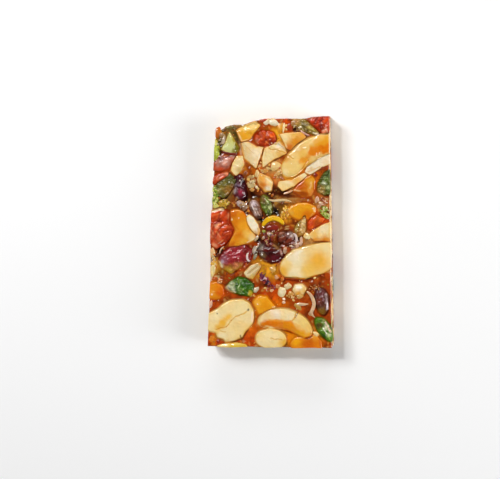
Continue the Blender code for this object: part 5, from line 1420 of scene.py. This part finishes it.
# Thin curled shavings: the places that each runs through, width and colour, in mm. The pale lilac
# ones round (-7.6, -8.5), (9.8, -1.8) and (-4.7, -5.9) are strips that paint glints.
CURLS = (
    (((13.6, -21.6), (15.2, -22.8), (16.2, -25.2), (16.2, -27.6), (15.4, -29.2), (16.8, -31.2)),
     1.3, "#D2B498"),
    (((-7.2, -6.8), (-8.2, -8.2), (-8.0, -9.8), (-7.0, -10.2)), 0.8, "#DCCCD6"),
    (((-0.4, 12.6), (2.4, 11.9), (5.2, 12.1), (8.6, 11.4)), 0.9, "#D2BC98"),
    (((5.4, 14.4), (7.2, 14.9), (9.0, 15.7)), 0.8, "#CE9C7C"),
    (((8.9, -0.2), (9.9, -1.0), (10.2, -2.6), (9.4, -3.8)), 0.9, "#D8C4CC"),
    (((-3.8, -4.6), (-4.9, -5.6), (-5.4, -7.4)), 0.7, "#C8BCB4"),
    (((-16.8, -5.0), (-17.8, -5.8), (-18.6, -7.4)), 0.5, "#D8BCA0"),
    (((15.4, 35.6), (13.4, 36.4), (12.0, 37.6)), 0.6, "#D8A8A0"),
)
# How crumbs are broken: number of flats, their nearest and farthest place as a share, and tip.
NUGGET = (9, 0.62, 0.9, 8.0)
SHARD = (9, 0.3, 0.72, 35.0)
CHIP = (14, 0.5, 0.84, 10.0)
NUGGET_GRID, SHARD_GRID = (20, 10), (11, 6)  # points round it, and rings
CRUMB_SUNK, SHARD_SUNK = 0.55, 0.5  # how far the caramel round them lies under the face, in mm

# Heaps of shards: middle, length, width, turn, how many, their size in mm, and their colours.
HEAPS = (
    (-19.9, 13.6, 6.6, 2.8, 84, 46, 1.5,
     ("#A8BC40", "#86A030", "#C4CC6C", "#5E7E1E", "#D8DC94", "#6E8A24")),
    (-20.6, 16.8, 3.0, 1.8, 70, 12, 1.2, ("#98AC3C", "#6E8E24", "#C8D080")),
    (-16.2, 10.9, 4.6, 2.6, 6, 26, 1.5, ("#B08E24", "#C8A038", "#8A7A20", "#DAB850", "#B87A20")),
    (-13.0, 10.6, 2.6, 2.0, -20, 10, 1.3, ("#B8681C", "#9A5418", "#D0903C")),
    (21.2, 7.4, 4.6, 3.4, -66, 44, 1.5, ("#A4B850", "#88A03A", "#C8CC84", "#60801E", "#DADDA8")),
    (6.0, 7.4, 5.0, 2.6, 78, 42, 1.4, ("#E4A828", "#D08C18", "#EBBC48", "#C07814", "#F2D088")),
    (19.9, 11.4, 3.6, 3.2, 30, 26, 1.2, ("#D8A890", "#C08060", "#E4C8B8", "#A85A34", "#8A3A18")),
    (-2.0, -16.6, 4.8, 2.6, -42, 28, 1.4,
     ("#7A2A50", "#3E1638", "#9A3448", "#D4B4C8", "#4A1A3C", "#A84A34")),
    (0.6, -0.6, 6.4, 3.0, 24, 30, 1.9,
     ("#7E2C26", "#5E1618", "#8A3A22", "#B08850", "#4A0E10", "#C8A8A4")),
    (-0.8, -3.4, 4.4, 2.0, -20, 14, 1.7, ("#6A1A1E", "#8E3428", "#B89468", "#3E0A10", "#A85040")),
    (0.4, -19.4, 4.4, 1.5, -36, 18, 1.2, ("#8A2238", "#A8323C", "#5E1430", "#C87864", "#742040")),
    (-6.0, 18.8, 4.8, 2.6, 74, 24, 1.5, ("#CDB688", "#B8946A", "#E0CDA0", "#A8824E", "#D8A868")),
    (-20.6, -10.8, 8.6, 1.6, 88, 26, 1.4, ("#EFD6A0", "#E2B058", "#D89040", "#F2E2C0", "#C87838")),
    (-18.6, -18.0, 3.0, 1.0, 10, 7, 0.9, ("#DE9A60", "#C87038", "#F0C8A0", "#A84A18")),
    (8.2, -23.6, 4.6, 1.6, -10, 16, 1.1, ("#C89048", "#D8A860", "#B87028", "#E4C088")),
    (-10.0, 10.2, 3.6, 2.2, -24, 14, 1.3, ("#B4A0A4", "#86685C", "#D8CCD0", "#9A7A58", "#6A4A44")),
    (4.2, 21.9, 4.4, 1.8, 40, 14, 1.2, ("#D8A868", "#E4C08C", "#C07C38", "#EBD4A8")),
    (-1.2, 22.9, 3.4, 1.8, 10, 12, 1.2, ("#DCA058", "#E8C48C", "#B86E2C")),
    (10.6, 38.2, 3.0, 2.4, 0, 14, 1.2, ("#8A6434", "#C09058", "#5A3010", "#E0C090", "#74521C")),
    (-12.6, 38.6, 4.6, 1.4, 4, 14, 1.2, ("#7A6A30", "#8E6A34", "#5E5020", "#B09058")),
    (-17.8, 33.8, 4.8, 1.8, 66, 18, 1.1, ("#A89684", "#3C4416", "#6A5A34", "#D0C4B4", "#8A6A4A")),
    (9.4, -4.2, 4.0, 1.6, 40, 16, 1.1, ("#D8B8A8", "#A87058", "#E8D4CC", "#7A3A24")),
    (-4.9, -7.4, 4.6, 1.4, 80, 14, 1.1, ("#B0A498", "#8A8070", "#D4CCC4", "#5A4434")),
    (16.6, -20.2, 4.0, 2.0, 20, 14, 0.9, ("#B87434", "#8A4418", "#D09858")),
)
LOOSE_CRUMBS = 180  # on each face
LOOSE_COLOURS = ("#EBD6A6", "#E2B468", "#D88F34", "#C87A2C", "#B8602A", "#D8BE90", "#A8641E",
                 "#8A4418", "#8E9A3C", "#8A2A14", "#E8CFA0", "#C8782A")


def lump(x, y, z, long, wide, tall, turn, seed, around, rows, form):
    """One crumb: an uneven lump with flats, as closed rings of points. form is how many flats it
    has, how near its middle they lie at least and at most, and how far it tips, in degrees."""
    flats, near, far, tip = form
    theta = np.linspace(0.0, math.pi, rows + 2)[1:-1]
    phi = np.linspace(0.0, 2.0 * math.pi, around, endpoint=False)
    unit = np.stack([np.outer(np.sin(theta), np.cos(phi)).ravel(),
                     np.outer(np.sin(theta), np.sin(phi)).ravel(),
                     np.repeat(np.cos(theta), around)], axis=1)
    unit = np.concatenate([unit, [(0, 0, 1.0), (0, 0, -1.0)]])
    reach = np.full(len(unit), 1.0)
    draw = np.random.default_rng(seed)
    for _ in range(flats):
        facing = draw.normal(size=3) * (1.0, 1.0, 0.7)
        facing /= np.linalg.norm(facing)
        toward = unit @ facing
        flat = draw.uniform(near, far)
        cut = np.minimum(reach, flat / np.maximum(toward, 0.05))
        reach = np.where(toward > 0.05, cut, reach)
    reach = reach * (1.0 + 0.07 * ripple(unit * 2.0 + seed * 3.1, 1.0, 90))
    shape = unit * reach[:, None] * (long / 1.55, wide / 1.55, tall)
    tip = math.radians(draw.uniform(-tip, tip))
    shape = np.stack([shape[:, 0] * math.cos(tip) - shape[:, 2] * math.sin(tip), shape[:, 1],
                      shape[:, 0] * math.sin(tip) + shape[:, 2] * math.cos(tip)], axis=1)
    c, s = cos_sin(turn)
    points = np.stack([x + c * shape[:, 0] - s * shape[:, 1],
                       y + s * shape[:, 0] + c * shape[:, 1], z + shape[:, 2]], axis=1)
    quads = grid_faces(rows, around, True)
    fans = tip_fans(around, (rows - 1) * around, rows * around, rows * around + 1)
    return points, quads[:, ::-1], fans[:, ::-1]


def curled(path, z, wide, tall, along=30, around=10):
    """A thin shaving that runs through these places, pointed at both ends."""
    knots = np.linspace(0.0, 1.0, len(path))
    share = np.linspace(0.0, 1.0, along)
    order = min(4, len(path) - 1)
    line = np.stack([np.polyval(np.polyfit(knots, [p[k] for p in path], order), share)
                     for k in (0, 1)], axis=1)
    ahead = np.gradient(line, axis=0)
    ahead /= np.linalg.norm(ahead, axis=1)[:, None]
    aside = np.stack([-ahead[:, 1], ahead[:, 0]], axis=1)
    full = (1.0 - np.abs(2.0 * share - 1.0) ** 3.0 * 0.97) ** 0.7
    phi = np.linspace(0.0, 2.0 * math.pi, around, endpoint=False)
    points = [np.column_stack([line + aside * (wide / 2.0 * c * full)[:, None],
                               z + tall * s * full]) for c, s in zip(np.cos(phi), np.sin(phi))]
    points = np.stack(points, axis=1).reshape(-1, 3)
    points[:, 2] += 0.12 * ripple(points, 1.6, 95)
    ends = np.array([(*line[0], z), (*line[-1], z)])
    fans = tip_fans(around, (along - 1) * around, along * around, along * around + 1)
    return np.concatenate([points, ends]), grid_faces(along, around, True), fans[:, (0, 2, 1)]


def loose_crumbs():
    """Small fragments all over the caramel of both faces, between the larger pieces."""
    draw = np.random.default_rng(41)
    tries = 6 * LOOSE_CRUMBS
    for shown, pieces in ((True, SHOWN), (False, BACK)):
        x = draw.uniform(-23.0, 23.0, tries)
        y = draw.uniform(-42.0, 42.0, tries)
        size = 0.5 + 1.7 * draw.random(tries) ** 2.2
        away, _, _ = nearest_piece(x, y, pieces)
        fits = inside_bar(x, y, 0.4 + 0.5 * size) & (away > 0.25 * size)
        fits &= spots(x, y, CALM) * shown < 0.45
        for k in np.flatnonzero(fits)[:LOOSE_CRUMBS]:
            sunk = caramel_face(x[k:k + 1], y[k:k + 1], pieces, shown)[0]
            colour = LOOSE_COLOURS[int(draw.integers(len(LOOSE_COLOURS)))]
            yield (x[k], y[k], size[k], size[k] * draw.uniform(0.5, 0.9), draw.uniform(0, 180),
                   colour, 0.08 + 0.14 * size[k] * draw.random(), sunk[0], shown)


def heaped_shards():
    """Broken bits that lie close together and over one another in a heap."""
    draw = np.random.default_rng(43)
    for x, y, long, wide, turn, number, size, colours in HEAPS:
        c, s = cos_sin(turn)
        for k in range(number):
            far = math.sqrt(draw.random())
            angle = draw.uniform(0.0, 2.0 * math.pi)
            a = far * long / 2.0 * math.cos(angle)
            b = far * wide / 2.0 * math.sin(angle)
            at = (x + c * a - s * b, y + s * a + c * b)
            if inside_bar(*np.array(at), 0.45):
                length = size * draw.uniform(0.55, 1.3)
                yield (*at, length, length * draw.uniform(0.35, 0.75), draw.uniform(0, 180),
                       colours[k % len(colours)], 0.5 - 0.3 * far + 0.16 * draw.random(),
                       SHARD_SUNK, True)


def build_crumbs(finish):
    """Every crumb, in one piece for the pale nuts and one for the green and red bits."""
    rows = []
    for x, y, long, wide, turn, colour, rise in CRUMBS:
        rows.append((x, y, long, wide, turn, colour, rise, CRUMB_SUNK, True))
    loose = list(loose_crumbs())
    forms = [NUGGET] * len(rows) + [CHIP] * len(loose)
    rows += loose
    heaped = list(heaped_shards())
    forms += [SHARD] * len(heaped)
    rows += heaped
    groups = {"nut": [], "coloured": []}
    shapes = []
    for k, (x, y, long, wide, turn, colour, rise, sunk, shown) in enumerate(rows):
        tall = 0.5 * min(1.8, 0.3 + 0.45 * wide)
        z = BAR_THICK - sunk + rise - tall
        grid = NUGGET_GRID if forms[k] is NUGGET else SHARD_GRID
        made = lump(x, y, z, long, wide, tall, turn, 500 + k, *grid, forms[k])
        shapes.append((*made, colour, sunk, shown))
    for path, wide, colour in CURLS:
        shapes.append((*curled(path, BAR_THICK - 0.3, wide, 0.24), colour, SHARD_SUNK, True))
    for points, quads, fans, colour, sunk, shown in shapes:
        points[:, 2] = np.minimum(points[:, 2], BAR_THICK - 0.04)
        points[:, 0] = np.clip(points[:, 0], left_edge(points[:, 1]) + 0.25,
                               right_edge(points[:, 1]) - 0.2)
        if not shown:
            points[:, 2] = BAR_THICK - points[:, 2]
            quads, fans = quads[:, ::-1], fans[:, ::-1]
        red, green, _ = linear(colour)
        kind = "coloured" if green > red * 0.95 or red > 5.0 * green else "nut"
        height = points[:, 2] if shown else BAR_THICK - points[:, 2]
        face = BAR_THICK - sunk
        glaze = 0.1 + 0.7 * np.exp(-np.maximum(height - face, 0.0) / 0.12)
        flesh = np.tile(linear(colour), (len(points), 1))
        flesh *= (1.0 + (0.2 if shown else 0.12) * layered(points, 0.9, 2, 91))[:, None]
        groups[kind].append((points, quads, fans, flesh, glaze))
    for kind, parts in groups.items():
        starts = np.cumsum([0] + [len(part[0]) for part in parts])
        points = np.concatenate([part[0] for part in parts])
        quads = np.concatenate([part[1] + start for part, start in zip(parts, starts)])
        fans = np.concatenate([part[2] + start for part, start in zip(parts, starts)])
        fields = {"flesh": np.concatenate([part[3] for part in parts]),
                  "glaze": np.concatenate([part[4] for part in parts]),
                  "shade": np.ones(len(points)), "raw": np.zeros(len(points))}
        made = mesh_object(kind + "_crumbs", points, quads, fans, fields,
                           finish["cut_nut" if kind == "nut" else "fruit"], CRUMB_SHARP)
        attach(made, "root")
        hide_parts("caramel_slab")


def build_caramel(finish):
    """The caramel itself, which with the crumbs stands for the slab."""
    points, quads, fields = caramel_block()
    made = mesh_object("caramel", points, quads, (), fields, finish["caramel"])
    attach(made, "root")
    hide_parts("caramel_slab")


# --- floor, light and camera -------------------------------------------------------------------

FLOOR_SIZE = 3.0  # m
FLOOR_DROP = 0.05  # mm below the bar
PALE = (0.95, 0.95, 0.95, 1.0)
SKY_ABOVE, SKY_BELOW = 0.02, 0.42  # the world's strength overhead and at the horizon and below

# The lamps: place and size in m, and power in W. The key stands at the left beyond the broken end,
# a small one beside it gives the crisp glints, and two broad ones open the shadows.
LAMPS = {
    "key": ((-0.35, 0.35, 0.55), (0.22, 0.22), 2.6),
    "glints": ((-0.2, 0.3, 0.6), (0.06, 0.06), 1.2),
    "fill": ((0.6, -0.1, 0.26), (0.3, 0.5), 2.9),
    "end_light": ((0.0, 0.65, 0.3), (0.5, 0.2), 1.3),
}
AIM = (0, 0, 0.005)  # m, the middle of the bar


def floor():
    """Matt pale paper, which gives the eye a soft shadow and nothing else."""
    bpy.ops.mesh.primitive_plane_add(size=FLOOR_SIZE, location=(0, 0, -FLOOR_DROP * MM))
    made = bpy.context.object
    made.name = "pale_floor"
    paper = bpy.data.materials.new("pale_floor")
    paper.use_nodes = True
    shader = paper.node_tree.nodes["Principled BSDF"]
    shader.inputs["Base Color"].default_value = PALE
    shader.inputs["Roughness"].default_value = 0.9
    made.data.materials.append(paper)


def softbox(name, place, size, power):
    """A rectangular lamp that faces the bar."""
    lamp = bpy.data.lights.new(name, "AREA")
    lamp.shape = "RECTANGLE"
    lamp.size, lamp.size_y = size
    lamp.energy = power
    made = bpy.data.objects.new(name, lamp)
    made.location = place
    made.rotation_euler = (Vector(AIM) - Vector(place)).to_track_quat("-Z", "Y").to_euler()
    bpy.context.scene.collection.objects.link(made)


def studio():
    """The world, brighter at the horizon than overhead, and the lamps."""
    world = bpy.data.worlds.new("studio")
    bpy.context.scene.world = world
    world.use_nodes = True
    tree = world.node_tree
    height = add(tree, "ShaderNodeSeparateXYZ", {},
                 {0: add(tree, "ShaderNodeTexCoord").outputs["Generated"]}).outputs["Z"]
    glow = add(tree, "ShaderNodeMapRange", {"To Min": SKY_BELOW, "To Max": SKY_ABOVE},
               {"Value": height})
    tree.links.new(glow.outputs["Result"], tree.nodes["Background"].inputs["Strength"])
    tree.nodes["Background"].inputs["Color"].default_value = (1, 1, 1, 1)
    for name, (place, size, power) in LAMPS.items():
        softbox(name, place, size, power)
    bpy.context.scene.view_settings.view_transform = "Standard"


# The photograph's frame, in pixels, and where the tables' zero is in it.
FRAME_PX = (500.0, 479.0)
ZERO_PX = (268.8, 233.2)
MM_PER_PX = 0.367
SEEN_FROM = (8.5, 5.0)  # degrees off straight above, towards the right side and the broken end
LENS, SENSOR = 100.0, 36.0  # mm


def camera():
    """Looks down on the shown face, a little from the right and from the broken end."""
    across = math.tan(math.radians(SEEN_FROM[0]))
    along = math.tan(math.radians(SEEN_FROM[1]))
    towards = Vector((across, along, 1.0)).normalized()
    distance = FRAME_PX[0] * MM_PER_PX * MM * LENS / SENSOR
    data = bpy.data.cameras.new("camera")
    data.lens = LENS
    data.sensor_width = SENSOR
    data.clip_start = 0.01
    made = bpy.data.objects.new("camera", data)
    right = Vector((1, 0, 0)) - towards * towards.x
    right.normalize()
    up = towards.cross(right)
    off = (ZERO_PX[0] - FRAME_PX[0] / 2, FRAME_PX[1] / 2 - ZERO_PX[1])
    middle = Vector((*SHIFT, BAR_THICK)) * MM - (right * off[0] + up * off[1]) * MM_PER_PX * MM
    made.location = middle + towards * distance
    axes = (right, up, towards)
    made.matrix_world = Matrix.Translation(made.location) @ Matrix(axes).transposed().to_4x4()
    bpy.context.scene.collection.objects.link(made)
    bpy.context.scene.camera = made


def main():
    finish = {kind: glazed(*numbers) for kind, numbers in FINISHES.items()}
    build_caramel(finish)
    build_pieces(finish)
    build_crumbs(finish)
    floor()
    studio()
    camera()


main()
